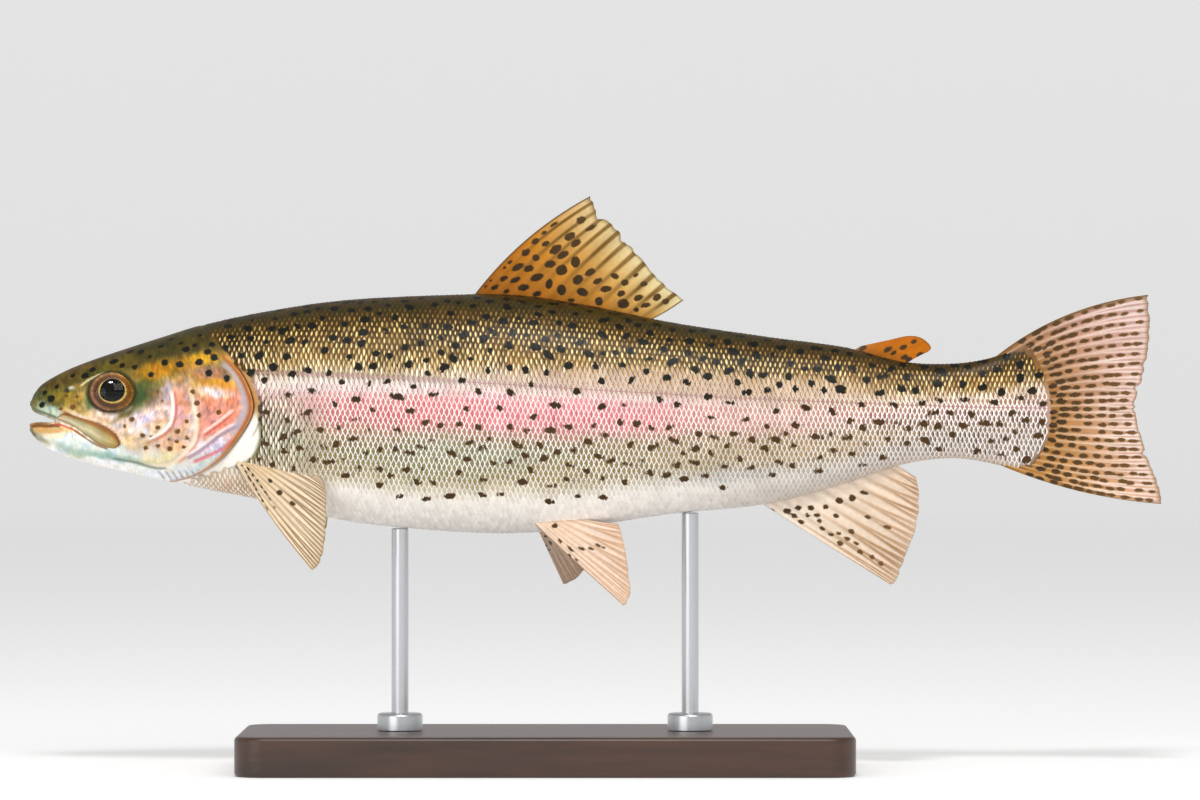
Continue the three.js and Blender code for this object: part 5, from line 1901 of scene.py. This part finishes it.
# the fins' larger spots: x, z, half length, half height and how far the front end is turned down, in radians
FIN_SPOTS: dict[str, tuple[tuple[float, ...], ...]] = {
    "dorsal": (
        (-39.4, 170.7, 0.78, 0.62, 0.3), (-36.1, 170.6, 1.45, 0.83, 0.4), (-32.9, 173.7, 1.55, 0.93, 0.4),
        (-37.4, 173.1, 0.78, 0.52, 0.5), (-32.7, 177.5, 0.78, 0.62, 0.5), (-30.6, 179.6, 0.93, 0.73, 0.7),
        (-28, 177.7, 2.33, 1.14, 0.5), (-24.1, 177.2, 1.87, 1.24, 0.3), (-28.8, 173.2, 2.07, 0.98, 0.4),
        (-25.2, 182.9, 1.66, 1.19, 0.6), (-21.8, 186.8, 1.66, 1.04, 0.6), (-18.7, 189.9, 1.14, 0.73, 0.6),
        (-15.1, 192.9, 1.66, 0.67, 0.6), (-26, 170.5, 2.18, 1.19, 0.1), (-21.3, 174.1, 2.59, 1.3, 0.3),
        (-21.6, 181.1, 1.24, 1.4, 1), (-18.2, 186, 1.45, 0.98, 0.6), (-16.6, 178.8, 2.18, 1.35, 0.1),
        (-14.6, 184, 2.33, 1.45, 0.6), (-12, 182.1, 2.28, 1.3, 0.5), (-9.6, 188.6, 2.18, 1.3, 0.5),
        (-16.9, 171.8, 1.24, 1.87, -0.2), (-12.5, 176.7, 2.07, 1.97, 0.2), (-12.5, 169.7, 1.66, 1.97, 0),
        (-7.6, 179.6, 1.66, 2.07, 0), (-6.8, 173.3, 1.97, 1.66, 0.5), (-7.5, 186.2, 1.97, 1.24, 0.7),
        (-5.2, 168.9, 2.07, 1.4, -0.4), (-2.4, 175.9, 1.97, 1.24, 0.5), (-5.7, 194.3, 1.76, 1.35, 0.5),
        (-2.1, 191.7, 2.07, 0.88, 0.5), (0.2, 172.8, 1.97, 0.98, 0.4), (3.1, 170, 2.18, 1.14, 0.1),
        (6.2, 174.6, 1.66, 1.04, -0.3), (9.8, 172.3, 1.4, 1.19, 0.3), (8.5, 168.4, 1.55, 1.09, 0.3),
        (13.7, 174.9, 1.14, 0.67, 0.5), (16.5, 171.8, 1.35, 0.98, 0.3), (14.7, 166.9, 1.76, 1.14, 0.3),
        (9.3, 164.8, 2.07, 1.71, 0), (21.2, 167.1, 1.55, 1.19, 0.5), (24.3, 165.6, 1.3, 1.09, 0.5),
        (17.3, 164.3, 1.87, 0.88, 0.2), (13.9, 162.7, 0.98, 0.88, 0), (0.7, 165.7, 1.45, 1.55, 0),
        (-21.3, 168.3, 1.66, 0.93, 0.2), (-31.9, 169.2, 1.24, 0.73, 0.2), (-9.1, 166, 1.35, 0.78, 0),
    ),
    "caudal": (
        (158.2, 149.2, 0.98, 0.65, 0.5), (159, 146.3, 1.14, 0.65, 0.3), (158.7, 143.9, 1.38, 0.81, 0.3),
        (160.4, 141.9, 1.38, 0.65, 0.2), (161.2, 139.8, 1.38, 0.65, 0.2), (161, 135.8, 1.71, 0.98, 0.2),
        (161.2, 133.3, 1.54, 0.65, 0), (159.4, 130.1, 1.54, 1.06, 0), (163.5, 130.6, 1.46, 0.89, 0.3),
        (161, 126.5, 1.71, 0.81, 0), (161.2, 124.4, 1.22, 0.65, 0), (161, 121.9, 1.71, 0.98, 0),
        (161, 119.8, 1.46, 0.65, 0), (160.6, 116.7, 1.71, 0.89, -0.3), (158.2, 113.4, 1.71, 0.89, -0.4),
        (154.9, 111, 1.71, 0.81, -0.4), (152.5, 108.9, 1.46, 0.73, -0.4), (149.8, 146.7, 1.38, 1.06, 0.3),
        (152.6, 147.8, 1.14, 0.65, 0.3),
    ),
    "anal": (
        (61.9, 91.8, 0.83, 0.62, -0.3), (67.1, 91.6, 1.45, 1.04, 0.2), (71.1, 92.7, 1.24, 0.93, 0.2),
        (75.6, 92.7, 1.24, 1.04, 0), (80.8, 93, 1.14, 0.93, 0), (85.6, 95.3, 1.45, 1.14, 0),
        (90.2, 96.2, 1.35, 1.24, 0), (69.7, 89.9, 1.14, 0.83, -0.2), (72.1, 87.8, 1.24, 0.83, -0.2),
        (74.2, 90.1, 0.93, 0.83, 0), (77.7, 90.1, 1.14, 0.83, 0), (78.7, 88, 0.93, 0.83, -0.3),
        (79.6, 85.4, 1.04, 0.83, -0.3), (82.5, 83.3, 1.14, 0.73, -0.3), (84.5, 89.9, 1.14, 0.83, -0.2),
        (85.8, 80.2, 1.24, 0.93, -0.3), (88.4, 81.8, 1.14, 0.83, -0.3), (89.9, 84.4, 1.14, 0.93, -0.3),
        (91.5, 80.2, 1.04, 0.73, -0.3), (93, 77.1, 1.14, 0.93, -0.5), (95.6, 89.4, 1.24, 0.73, -0.2),
        (97.2, 75.3, 1.14, 0.83, -0.5), (100.3, 73, 1.14, 0.83, -0.5), (94.3, 98, 1.66, 0.73, -0.2),
        (85.3, 83.7, 0.93, 0.73, -0.3), (102.4, 85.9, 1.66, 0.62, -0.3),
    ),
    "pectoral": (
        (-124.3, 107.1, 0.83, 0.37, -1), (-123.1, 105.1, 0.83, 0.37, -1), (-121.9, 103.1, 0.83, 0.37, -1),
        (-120.6, 101.3, 0.83, 0.37, -1), (-119.4, 99.2, 0.83, 0.37, -1), (-118.1, 97.1, 0.83, 0.37, -1),
        (-117, 95.2, 0.74, 0.37, -1), (-115.6, 92.8, 0.83, 0.37, -1), (-122.3, 106.3, 0.83, 0.37, -0.9),
        (-120.7, 104.1, 0.83, 0.37, -0.9), (-119, 102.1, 0.83, 0.37, -0.9), (-117.5, 100.2, 0.83, 0.37, -0.9),
        (-116, 98.1, 0.83, 0.37, -0.9), (-114.7, 96, 0.83, 0.37, -0.9), (-113, 93.2, 0.74, 0.37, -0.9),
        (-114.6, 102.2, 1.01, 0.74, -0.7), (-111.2, 98.1, 1.1, 1.01, 0), (-106.6, 94.4, 1.19, 0.83, -0.5),
    ),
    "pelvic": (
        (-14.8, 86.2, 1.24, 0.83, 0.3), (-13, 81, 0.93, 0.62, -1), (-9.3, 78.2, 1.45, 0.52, -0.7),
        (-5.6, 78.4, 1.35, 0.52, -0.3), (-2, 78.4, 1.14, 0.52, -0.3), (0.2, 79.6, 1.45, 0.52, -0.5),
        (2.2, 78.9, 0.83, 0.41, -0.3), (-9.6, 75.9, 0.93, 0.52, -0.9), (-7.2, 74.4, 0.83, 0.41, -0.9),
    ),
    "adipose": (),
}


@dataclass(frozen=True)
class FinSpots:
    """Spots on a fin's skin between rays: one every pitch along each gap between two rays, as long ovals.

    Near the root an oval has the half length and half width of `inner`, at the margin those of `outer`. They lie
    from reach[0] to reach[1] of the way along the fin.
    """

    pitch: float
    chance: float
    inner: tuple[float, float]
    outer: tuple[float, float]
    reach: tuple[float, float] = (0.08, 0.98)


@dataclass(frozen=True)
class FinPaint:
    """A fin's colours.

    `first` and `last` are its skin near the root, half way and at the margin, along its first ray and its last.
    Rays have their own colour, with a strength at the root and at the margin. The edge colour lies along the first
    ray, the last ray and the margin, each to its strength. The spots' tone runs from dark (0) to pale brown (1),
    at the root and at the margin.
    """

    first: tuple[tuple[int, int, int], ...]
    last: tuple[tuple[int, int, int], ...]
    ray: tuple[int, int, int]
    ray_strength: tuple[float, float]
    edge: tuple[int, int, int]
    edge_strength: tuple[float, float, float]
    tone: tuple[float, float]
    spots: FinSpots | None = None


@dataclass(frozen=True)
class FinShape:
    """A fin seen from the side. Rays run from the root line to the margin; bow bends the first ray and last_bow
    the last one."""

    name: str
    nodes: tuple[str, ...]
    slot: str
    root: Points
    margin: Points
    bow: tuple[float, float]
    last_bow: tuple[float, float]
    root_thickness: float
    rays: int
    paint: FinPaint
    ragged: float = 0.02
    wave: float = 0.5
    branched_from: float = 0.42
    spread: float = 0.25
    steps: int = 44
    seed: int = 1
    rayless: bool = False


@dataclass
class Fins:
    """All eight fins."""

    finishes: Finishes
    form: BodyForm
    edge: float = 0.34
    drawn_splay: float = 0.38
    per_ray: int = 16
    nicks: int = 6

    def shapes(self) -> tuple[FinShape, ...]:
        """The fins' outlines and paints; paired ones are drawn as the left ones look from the side."""
        return (
            FinShape(
                "dorsal", ("dorsal_fin",), "fin",
                ((-45.5, 165.0), (-15.0, 162.5), (14.0, 157.0)),
                ((-2.1, 203.0), (1.0, 196.8), (7.6, 191.2), (14.4, 182.4), (22.4, 173.2), (30.7, 166.2)),
                (-2.2, 2.6), (0, -0.8), 2.2, 13,
                FinPaint(
                    ((146, 82, 0), (180, 110, 20), (206, 180, 132)), ((156, 90, 4), (206, 166, 98), (220, 210, 162)),
                    (104, 72, 22), (0.1, 0.95), (84, 58, 20), (0.9, 0.4, 0.6), (0.0, 0.35),
                ),
                ragged=0.055, wave=0.5, spread=0.07, seed=3,
            ),
            FinShape(
                "adipose", ("adipose_fin",), "fin",
                ((88.5, 146.5), (99.0, 143.8), (107.6, 141.6)),
                (
                    (93.4, 149.9), (102.6, 151.9), (109.6, 153.4), (114.4, 152.8), (117.8, 149.9), (117.0, 147.9),
                    (112.6, 146.2),
                ),
                (0, 0.2), (0, 0.3), 3.2, 8,
                FinPaint(
                    ((126, 74, 6), (180, 98, 0), (182, 96, 0)), ((134, 80, 8), (188, 106, 0), (180, 98, 0)),
                    (140, 80, 20), (0.0, 0.0), (80, 52, 20), (0.7, 0.5, 0.7), (0.1, 0.3),
                    FinSpots(4.2, 0.6, (1.5, 0.85), (1.3, 0.8), (0.3, 0.9)),
                ),
                ragged=0.0, wave=0.0, seed=5, rayless=True,
            ),
            FinShape(
                "caudal", ("caudal_fin",), "fin",
                (
                    (139.5, 145.0), (150.5, 143.0), (156.4, 135.5), (157.8, 127.4), (156.4, 119.0), (150.2, 110.4),
                    (140.5, 108.6),
                ),
                (
                    (194.9, 168.0), (195.6, 158.4), (195.0, 148.4), (193.0, 139.2), (190.6, 131.0), (190.6, 124.4),
                    (192.6, 116.8), (195.2, 109.4), (198.2, 101.6), (200.0, 94.0),
                ),
                (-2.0, 4.0), (-0.4, -2.6), 2.4, 24,
                FinPaint(
                    ((138, 94, 46), (174, 130, 112), (190, 152, 144)),
                    ((166, 108, 34), (192, 140, 84), (200, 158, 134)),
                    (244, 228, 220), (0.35, 0.75), (100, 68, 28), (0.9, 0.6, 0.5), (0.1, 0.75),
                    FinSpots(4.5, 0.95, (1.75, 0.92), (1.75, 0.66), (0.16, 0.97)),
                ),
                ragged=0.035, wave=1.0, steps=60, seed=8,
            ),
            FinShape(
                "anal", ("anal_fin",), "fin",
                ((53.2, 97.4), (78.0, 101.6), (102.5, 109.6)),
                (
                    (103.9, 65.4), (106.6, 67.8), (109.0, 75.6), (112.0, 83.4), (113.8, 91.0), (113.8, 98.6),
                    (112.8, 103.4),
                ),
                (-0.4, 0.2), (0, 0.2), 2.0, 12,
                FinPaint(
                    ((230, 218, 204), (226, 206, 184), (220, 196, 176)),
                    ((226, 208, 192), (220, 196, 172), (214, 190, 172)),
                    (150, 110, 70), (0.15, 0.8), (218, 208, 192), (0.8, 0.1, 0.3), (0.0, 0.9),
                ),
                ragged=0.02, wave=0.4, seed=11,
            ),
            FinShape(
                "pectoral", ("pectoral_fin_left", "pectoral_fin_right"), "paired_fin",
                ((-126.6, 108.0), (-124.4, 110.4), (-121.4, 111.8)),
                (
                    (-99.2, 71.4), (-96.4, 74.4), (-95.2, 80.6), (-94.6, 88.4), (-94.8, 95.6), (-95.2, 100.2),
                    (-96.8, 103.4),
                ),
                (-0.6, -0.8), (0.4, 3.4), 2.4, 14,
                FinPaint(
                    ((226, 208, 182), (222, 198, 168), (228, 214, 192)),
                    ((206, 168, 112), (218, 196, 168), (226, 212, 192)),
                    (124, 92, 50), (0.3, 0.85), (176, 136, 92), (0.5, 0.6, 0.35), (0.0, 0.4),
                ),
                ragged=0.02, wave=0.4, seed=13,
            ),
            FinShape(
                "pelvic", ("pelvic_fin_left", "pelvic_fin_right"), "paired_fin",
                ((-22.4, 87.6), (-19.2, 89.6), (-15.6, 91.4)),
                ((9.4, 58.6), (11.4, 60.6), (11.8, 65.6), (10.6, 74.0), (8.8, 83.6), (7.4, 87.4)),
                (-0.3, 0.2), (0, -0.8), 2.2, 10,
                FinPaint(
                    ((228, 206, 186), (226, 200, 178), (226, 196, 176)),
                    ((222, 190, 154), (226, 202, 182), (224, 198, 178)),
                    (178, 134, 96), (0.3, 0.75), (208, 168, 132), (0.6, 0.3, 0.3), (0.2, 0.6),
                ),
                ragged=0.015, wave=0.3, seed=17,
            ),
        )

    def poses(self) -> dict[str, dict[Side, Pose]]:
        """How each paired fin hangs."""
        return {
            "pectoral": {Side.LEFT: Pose((-14.6, 110.4), 0.38), Side.RIGHT: Pose((14.6, 110.4), 0.38, 0.07)},
            "pelvic": {Side.LEFT: Pose((-8.0, 88.6), 0.38), Side.RIGHT: Pose((8.0, 88.6), 0.98, 0.56)},
        }

    def rays(self, shape: FinShape, u: Array, v: Array) -> Array:
        """1 on a ray and 0 between rays.

        In a ray's own cell w runs from -0.5 to 0.5. The ray splits in two past `branched_from`, each branch moving
        off by `spread` of the cell, and each splits again nearer the margin, by half as much.
        """
        if shape.rayless:
            return np.zeros(u.shape)
        w = np.abs((u * (shape.rays - 1) + 0.5) % 1.0 - 0.5)
        apart = shape.spread * smoothstep(shape.branched_from, 1.0, v)
        second = shape.spread / 2 * smoothstep(0.72, 1.15, v)
        gap = np.abs(np.abs(w - apart) - second)
        width = 0.15 * (1 - v) + 0.1
        return bell(gap, width)

    def plane(self, shape: FinShape, u: Array, v: Array) -> tuple[Array, Array]:
        """x and z of each point: straight from root to margin, bent by bow (first ray) and last_bow (last ray)."""
        start, end = Curve(shape.root).at(u), Curve(shape.margin).at(u)
        rng = np.random.default_rng(shape.seed)
        torn = np.zeros(u.shape)
        for place, depth, width in rng.uniform((0.14, 0.3, 0.5), (0.9, 1.0, 1.5), (self.nicks, 3)):
            torn = np.maximum(torn, depth * bell((u - place) * (shape.rays - 1) * 3, width))
        uneven = ripple(u * (shape.rays - 1) * 1.7, np.zeros(u.shape), 1.0, shape.seed + 30)
        cells = 0.5 - 0.5 * np.cos(2 * math.pi * u * (shape.rays - 1))
        reach = 1 - shape.ragged * (0.2 * cells * uneven + 0.25 * uneven + torn) * smoothstep(0.5, 1.0, v)
        v = v * reach
        bend = 4 * v * (1 - v)
        x = start[..., 0] + (end[..., 0] - start[..., 0]) * v
        z = start[..., 1] + (end[..., 1] - start[..., 1]) * v
        x = x + bend * (shape.bow[0] * (1 - u) ** 3 + shape.last_bow[0] * u**3)
        z = z + bend * (shape.bow[1] * (1 - u) ** 3 + shape.last_bow[1] * u**3)
        return x, z

    def thickness(self, shape: FinShape, u: Array, v: Array) -> Array:
        """Half the thickness: it falls as (1 - v)^1.5 to the margin, and rays stand out of the skin between them."""
        ends = np.minimum(1, np.sin(math.pi * u) * 4 + 0.45)
        whole = self.edge + (shape.root_thickness - self.edge) * (1 - v) ** 1.5 * ends
        ray = self.rays(shape, u, v)
        rise = (0.16 + 0.22 * (1 - v)) * ray * smoothstep(0.02, 0.15, v)
        skin = whole * (1 - 0.25 * smoothstep(0.05, 0.3, v)) if not shape.rayless else whole
        taper = 1 - 0.55 * smoothstep(0.93, 1.0, v)
        lead = 1 + 0.5 * (1 - smoothstep(0.0, 0.06, u)) * smoothstep(0.05, 0.2, v)
        rounded = np.sqrt(np.clip(1 - (1 - np.clip(np.minimum(u, 1 - u) / 0.02, 0, 1)) ** 2, 0.04, 1))
        return (skin / 2 * lead + rise) * taper * rounded

    def spot_depth(self, shape: FinShape, u: Array, x: Array, z: Array) -> Array:
        """How deep inside a spot each point lies, in millimetres; below nought outside them all."""
        best = np.full(u.shape, -4.0)
        for px, pz, long, high, turn in FIN_SPOTS[shape.name]:
            c, s = math.cos(turn), math.sin(turn)
            dx, dz = x - px, z - pz
            np.maximum(best, high - np.hypot((dx * c + dz * s) * high / long, dz * c - dx * s), out=best)
        if shape.paint.spots:
            rng = np.random.default_rng(shape.seed + 40)
            for cell in range(shape.rays - 1):
                self.spot_row(shape.paint.spots, int((cell + 0.5) * self.per_ray), x, z, rng, best)
        return best

    def spot_row(self, spots: FinSpots, centre: int, x: Array, z: Array, rng: np.random.Generator, best: Array) -> None:
        """Lays one row of spots along the gap between two rays.

        Args:
            spots: their kind.
            centre: the gap's middle, as a row of the fin's grid.
            x, z: the grid's points.
            rng: the source of small differences.
            best: how deep inside a spot each point lies, changed in place.
        """
        low, high = spots.reach
        length = float(np.hypot(x[centre, -1] - x[centre, 0], z[centre, -1] - z[centre, 0]))
        count = max(int(round(length * (high - low) / spots.pitch)), 1)
        for number in range(count):
            jolt, chance = rng.uniform(-1, 1, 4), rng.random()
            if chance > spots.chance:
                continue
            at_v = low + (high - low) * (number + 0.5 + 0.2 * jolt[0]) / count
            i = int(np.clip(round(centre + 0.12 * jolt[1] * self.per_ray), 1, len(x) - 2))
            j = int(np.clip(round(at_v * (x.shape[1] - 1)), 1, x.shape[1] - 2))
            along = np.array([x[i, j + 1] - x[i, j - 1], z[i, j + 1] - z[i, j - 1]])
            along /= max(float(np.linalg.norm(along)), 1e-9)
            dx, dz = x - x[i, j], z - z[i, j]
            p, q = dx * along[0] + dz * along[1], dz * along[0] - dx * along[1]
            half = np.array(spots.inner) * (1 - at_v) + np.array(spots.outer) * at_v
            half = half * (1 + np.array((0.22, 0.14)) * jolt[2:])
            np.maximum(best, half[1] - np.hypot(p * half[1] / half[0], q), out=best)

    def colour(self, shape: FinShape, u: Array, v: Array) -> Array:
        """Linear colour: the skin's tones blended across the fin, with rays, edges and fine streaks."""
        paint, stops = shape.paint, (0.0, 0.5, 1.0)
        colour = mix(*(gradient(v, stops, table) for table in (paint.first, paint.last)), u)
        streak = (ripple(u * shape.rays * 2.2, v * 2.5, 1.0, shape.seed + 60) - 0.5)[..., None]
        colour = colour * (1 + 0.12 * streak)
        fade = 0.6 + 0.6 * ripple(u * shape.rays, v * 3, 1.0, shape.seed + 70)
        ray = self.rays(shape, u, v) ** 1.4 * np.interp(v, (0.25, 0.75), paint.ray_strength) * fade
        lay(colour, np.clip(ray, 0, 1), paint.ray)
        ends = (
            (1 - smoothstep(0.0, 0.03, u)) * paint.edge_strength[0],
            smoothstep(0.975, 1.0, u) * paint.edge_strength[1],
            smoothstep(0.965, 1.0, v) * paint.edge_strength[2],
        )
        edge = np.maximum.reduce(ends)[..., None]
        return linear(colour + edge * (np.array(paint.edge) - colour))

    def seat(self, points: Array, shape: FinShape, pose: Pose) -> Array:
        """Hangs a drawn fin: lengthened for the drawn splay, turned about Y, swung about X and moved to its hinge."""
        y, z = pose.hinge
        at = points - (shape.root[1][0], 0.0, z)
        at[..., 2] /= math.cos(self.drawn_splay)
        c, s = math.cos(pose.turn), math.sin(pose.turn)
        at = np.stack([at[..., 0] * c + at[..., 2] * s, at[..., 1], at[..., 2] * c - at[..., 0] * s], axis=-1)
        swing = math.copysign(pose.splay, y)
        c, s = math.cos(swing), math.sin(swing)
        at = np.stack([at[..., 0], at[..., 1] * c - at[..., 2] * s, at[..., 1] * s + at[..., 2] * c], axis=-1)
        return at + (shape.root[1][0], y, z)

    def plate(self, name: str, shape: FinShape, nodes: tuple[str, ...], pose: Pose | None = None) -> None:
        """Builds one fin as a closed plate: near face out, far face back, and strips along its first and last ray.

        Args:
            name: the piece's name.
            shape: the fin.
            nodes: the solids it replaces.
            pose: how it hangs, for a paired fin.
        """
        count = (shape.rays - 1) * self.per_ray
        u, v = np.meshgrid(np.linspace(0, 1, count + 1), np.linspace(0, 1, shape.steps + 1), indexing="ij")
        x, z = self.plane(shape, u, v)
        half = self.thickness(shape, u, v)
        wave = shape.wave * v**1.6 * np.sin(2 * math.pi * (1.4 * u + 0.1 * shape.seed))
        near, far = np.stack([x, wave - half, z], axis=-1), np.stack([x, wave + half, z], axis=-1)
        values = {
            "paint": self.colour(shape, u, v),
            "spot": self.spot_depth(shape, u, x, z),
            "tone": np.interp(v, (0, 1), shape.paint.tone),
        }
        ring = np.concatenate([near, far[:, ::-1]], axis=1)
        ring_values = {key: np.concatenate([value, value[:, ::-1]], axis=1) for key, value in values.items()}
        grids = [Grid(ring, ring_values, wrap=True)]
        for cut in (0, -1):
            strip = np.stack([near[cut], far[cut]])
            strip_values = {key: np.stack([value[cut], value[cut]]) for key, value in values.items()}
            grids.append(Grid(strip, strip_values))
        if pose:
            for grid in grids:
                grid.points = self.seat(grid.points, shape, pose)
        finish_piece(from_grids(name, grids), self.finishes.fin, nodes)

    def build(self) -> None:
        """Builds the middle fins, then the pairs."""
        poses = self.poses()
        for shape in self.shapes():
            if shape.name not in poses:
                self.plate(f"fin_{shape.name}", shape, shape.nodes)
                continue
            for (side, pose), node in zip(poses[shape.name].items(), shape.nodes):
                self.plate(f"fin_{shape.name}_{side.label}", shape, (node,), pose)


# ---------------------------------------------------------------------------------------------------------------
# Stand and studio


@dataclass
class Stand:
    """A flat wooden base with two steel rods up to the belly and a collar round the foot of each."""

    form: BodyForm
    finishes: Finishes
    centre: float = -18
    length: float = 216
    width: float = 100
    height: float = 14
    corner: float = 10
    round_edge: float = 1.5
    rod_radius: float = 3
    rod_places: tuple[tuple[str, float], ...] = (("front", -69.6), ("rear", 32.9))
    collar_radius: float = 8
    collar_height: float = 6
    collar_edge: float = 1.2
    gap: float = 0.3

    def outline(self, inset: Array, steps: int = 12) -> Array:
        """The base's rounded outline, moved inwards by each inset: corner centres plus the corner radius."""
        turn = np.linspace(0, math.pi / 2, steps + 1)
        quarter = np.concatenate([turn + q * math.pi / 2 for q in range(4)])
        sign_x = np.repeat([1, -1, -1, 1], steps + 1)
        sign_y = np.repeat([1, 1, -1, -1], steps + 1)
        radius = np.maximum(self.corner - inset, 0.01)[:, None]
        x = sign_x * (self.length / 2 - self.corner) + radius * np.cos(quarter)
        y = sign_y * (self.width / 2 - self.corner) + radius * np.sin(quarter)
        return np.stack([x + self.centre, y], axis=-1)

    def base(self) -> None:
        """The base: its outline carried up its rounded edges, with a lid and a floor."""
        turn = np.linspace(0, math.pi / 2, 7)
        by_sin, by_cos = self.round_edge * (1 - np.sin(turn)), self.round_edge * (1 - np.cos(turn))
        inset = np.concatenate([by_sin, by_cos])
        level = np.concatenate([by_cos, self.height - by_sin])
        rings = self.outline(inset)
        heights = np.broadcast_to(level[:, None, None], (*rings.shape[:2], 1))
        wall = np.concatenate([rings, heights], axis=-1)
        middle = np.array((self.centre, 0.0, 0.0))
        caps = []
        for ring in (wall[0], wall[-1]):
            centre = np.broadcast_to(middle + (0, 0, ring[0, 2]), ring.shape)
            share = np.linspace(0, 1, 5)[:, None, None]
            caps.append(Grid(centre[None] * (1 - share) + ring[None] * share, wrap=True))
        grids = [Grid(wall, wrap=True), *caps]
        finish_piece(from_grids("stand_base_wood", grids, crease=40), self.finishes.wood, ("stand_base",))

    def turned(self, profile: Array, x: float, sides: int = 48) -> Grid:
        """A profile of radius and height carried round an upright line at x."""
        angle = np.linspace(0, 2 * math.pi, sides, endpoint=False)
        radius, z = profile[:, :1], profile[:, 1:]
        z = np.broadcast_to(z, (len(z), sides))
        return Grid(np.stack([radius * np.cos(angle) + x, radius * np.sin(angle), z], axis=-1), wrap=True)

    def build(self) -> None:
        """Builds the base, rods and collars."""
        self.base()
        bottom = self.height + self.gap
        for name, x in self.rod_places:
            top = float(self.form.profile(np.array(x))[1])
            radius, bevel = self.rod_radius, 0.4
            rod = np.array([(0, bottom), (radius, bottom), (radius, top - bevel), (radius - bevel, top), (0, top)])
            inner, outer, edge = radius + self.gap / 3, self.collar_radius, self.collar_edge
            lid = bottom + self.collar_height
            turn = np.linspace(0, math.pi / 2, 6)
            rim = np.stack([outer - edge + edge * np.cos(turn), lid - edge + edge * np.sin(turn)], axis=1)
            ring = np.concatenate([[(inner, bottom), (outer, bottom)], rim, [(inner, lid), (inner, bottom)]])
            for part, profile in (("rod", rod), ("collar", ring)):
                piece = from_grids(f"stand_{part}_{name}_steel", [self.turned(profile, x)], crease=35)
                finish_piece(piece, self.finishes.steel, (f"stand_{part}_{name}",))


@dataclass
class Studio:
    """Floor, lights and camera."""

    finishes: Finishes
    floor_radius: float = 5.2
    wall_height: float = 1.6
    lens: float = 200.0
    sensor: float = 36.0
    frame_width: float = 0.424
    look_at: tuple[float, float] = (0.00106, 0.1308)
    lit_height: float = 0.12
    # name, place, width, watts and tint of each
    lamps: tuple[tuple, ...] = (
        ("key", (0.75, -1.9, 1.5), 1.1, 10.0, (1.0, 0.99, 0.97)),
        ("catch", (-0.1, -1.8, 2.15), 0.42, 26.0, (1.0, 1.0, 1.0)),
        ("fill", (-1.2, -1.7, 0.3), 1.4, 9.0, (0.98, 0.99, 1.0)),
    )

    def floor(self) -> None:
        """A round floor that curves up into a low wall: flat to its radius, then a quarter circle."""
        turn = np.linspace(0, math.pi / 2, 17)
        flat = [0.0, 0.3, 1.0, self.floor_radius * 0.6]
        radius = np.concatenate([flat, self.floor_radius + self.wall_height * np.sin(turn)])[:, None]
        height = np.concatenate([np.zeros(len(flat)), self.wall_height * (1 - np.cos(turn))])[:, None]
        angle = np.linspace(0, 2 * math.pi, 96, endpoint=False)
        x, y = radius * np.cos(angle), radius * np.sin(angle)
        points = np.stack([x, y, np.broadcast_to(height, x.shape)], axis=-1)
        made = from_grids("studio_floor", [Grid(points / MM, wrap=True)])
        made.data.materials.append(self.finishes.floor)

    def light(
        self, name: str, at: tuple[float, float, float], size: float, power: float, tint: tuple[float, float, float]
    ) -> None:
        """A square soft light aimed at the fish."""
        data = bpy.data.lights.new(name, "AREA")
        data.shape, data.size, data.energy, data.color = "SQUARE", size, power, tint
        lamp = bpy.data.objects.new(name, data)
        aim = np.array((0.0, 0.0, self.lit_height)) - np.array(at)
        lamp.location = at
        lamp.rotation_euler = (math.acos(-aim[2] / np.linalg.norm(aim)), 0.0, math.atan2(aim[1], aim[0]) - math.pi / 2)
        bpy.context.scene.collection.objects.link(lamp)

    def build(self) -> None:
        """Builds the floor, three lights, an even sky and a level camera looking along +Y."""
        self.floor()
        for lamp in self.lamps:
            self.light(*lamp)
        world = bpy.data.worlds.new("Sky")
        world.use_nodes = True
        sky = world.node_tree.nodes["Background"]
        sky.inputs["Color"].default_value = (1.0, 1.0, 1.0, 1.0)
        sky.inputs["Strength"].default_value = 0.5
        scene = bpy.context.scene
        scene.world = world
        scene.view_settings.view_transform = "Standard"
        data = bpy.data.cameras.new("camera")
        data.lens, data.sensor_width = self.lens, self.sensor
        data.clip_end = 40.0
        camera = bpy.data.objects.new("camera", data)
        camera.location = (self.look_at[0], -self.frame_width * self.lens / self.sensor, self.look_at[1])
        camera.rotation_euler = (math.pi / 2, 0.0, 0.0)
        scene.collection.objects.link(camera)
        scene.camera = camera


def main() -> None:
    """Builds the trout, its stand and the studio."""
    logging.basicConfig(level=logging.INFO, format="%(name)s %(message)s")
    form = BodyForm()
    livery = Livery(form)
    spots = Spots(form)
    finishes = Finishes()
    Skin(form, livery, spots, finishes).build()
    JawPlates(form, livery, finishes).build()
    Eyes(finishes).build()
    Coat(form, livery, spots, finishes).build()
    Fins(finishes, form).build()
    Stand(form, finishes).build()
    Studio(finishes).build()


if __name__ == "__main__":
    main()
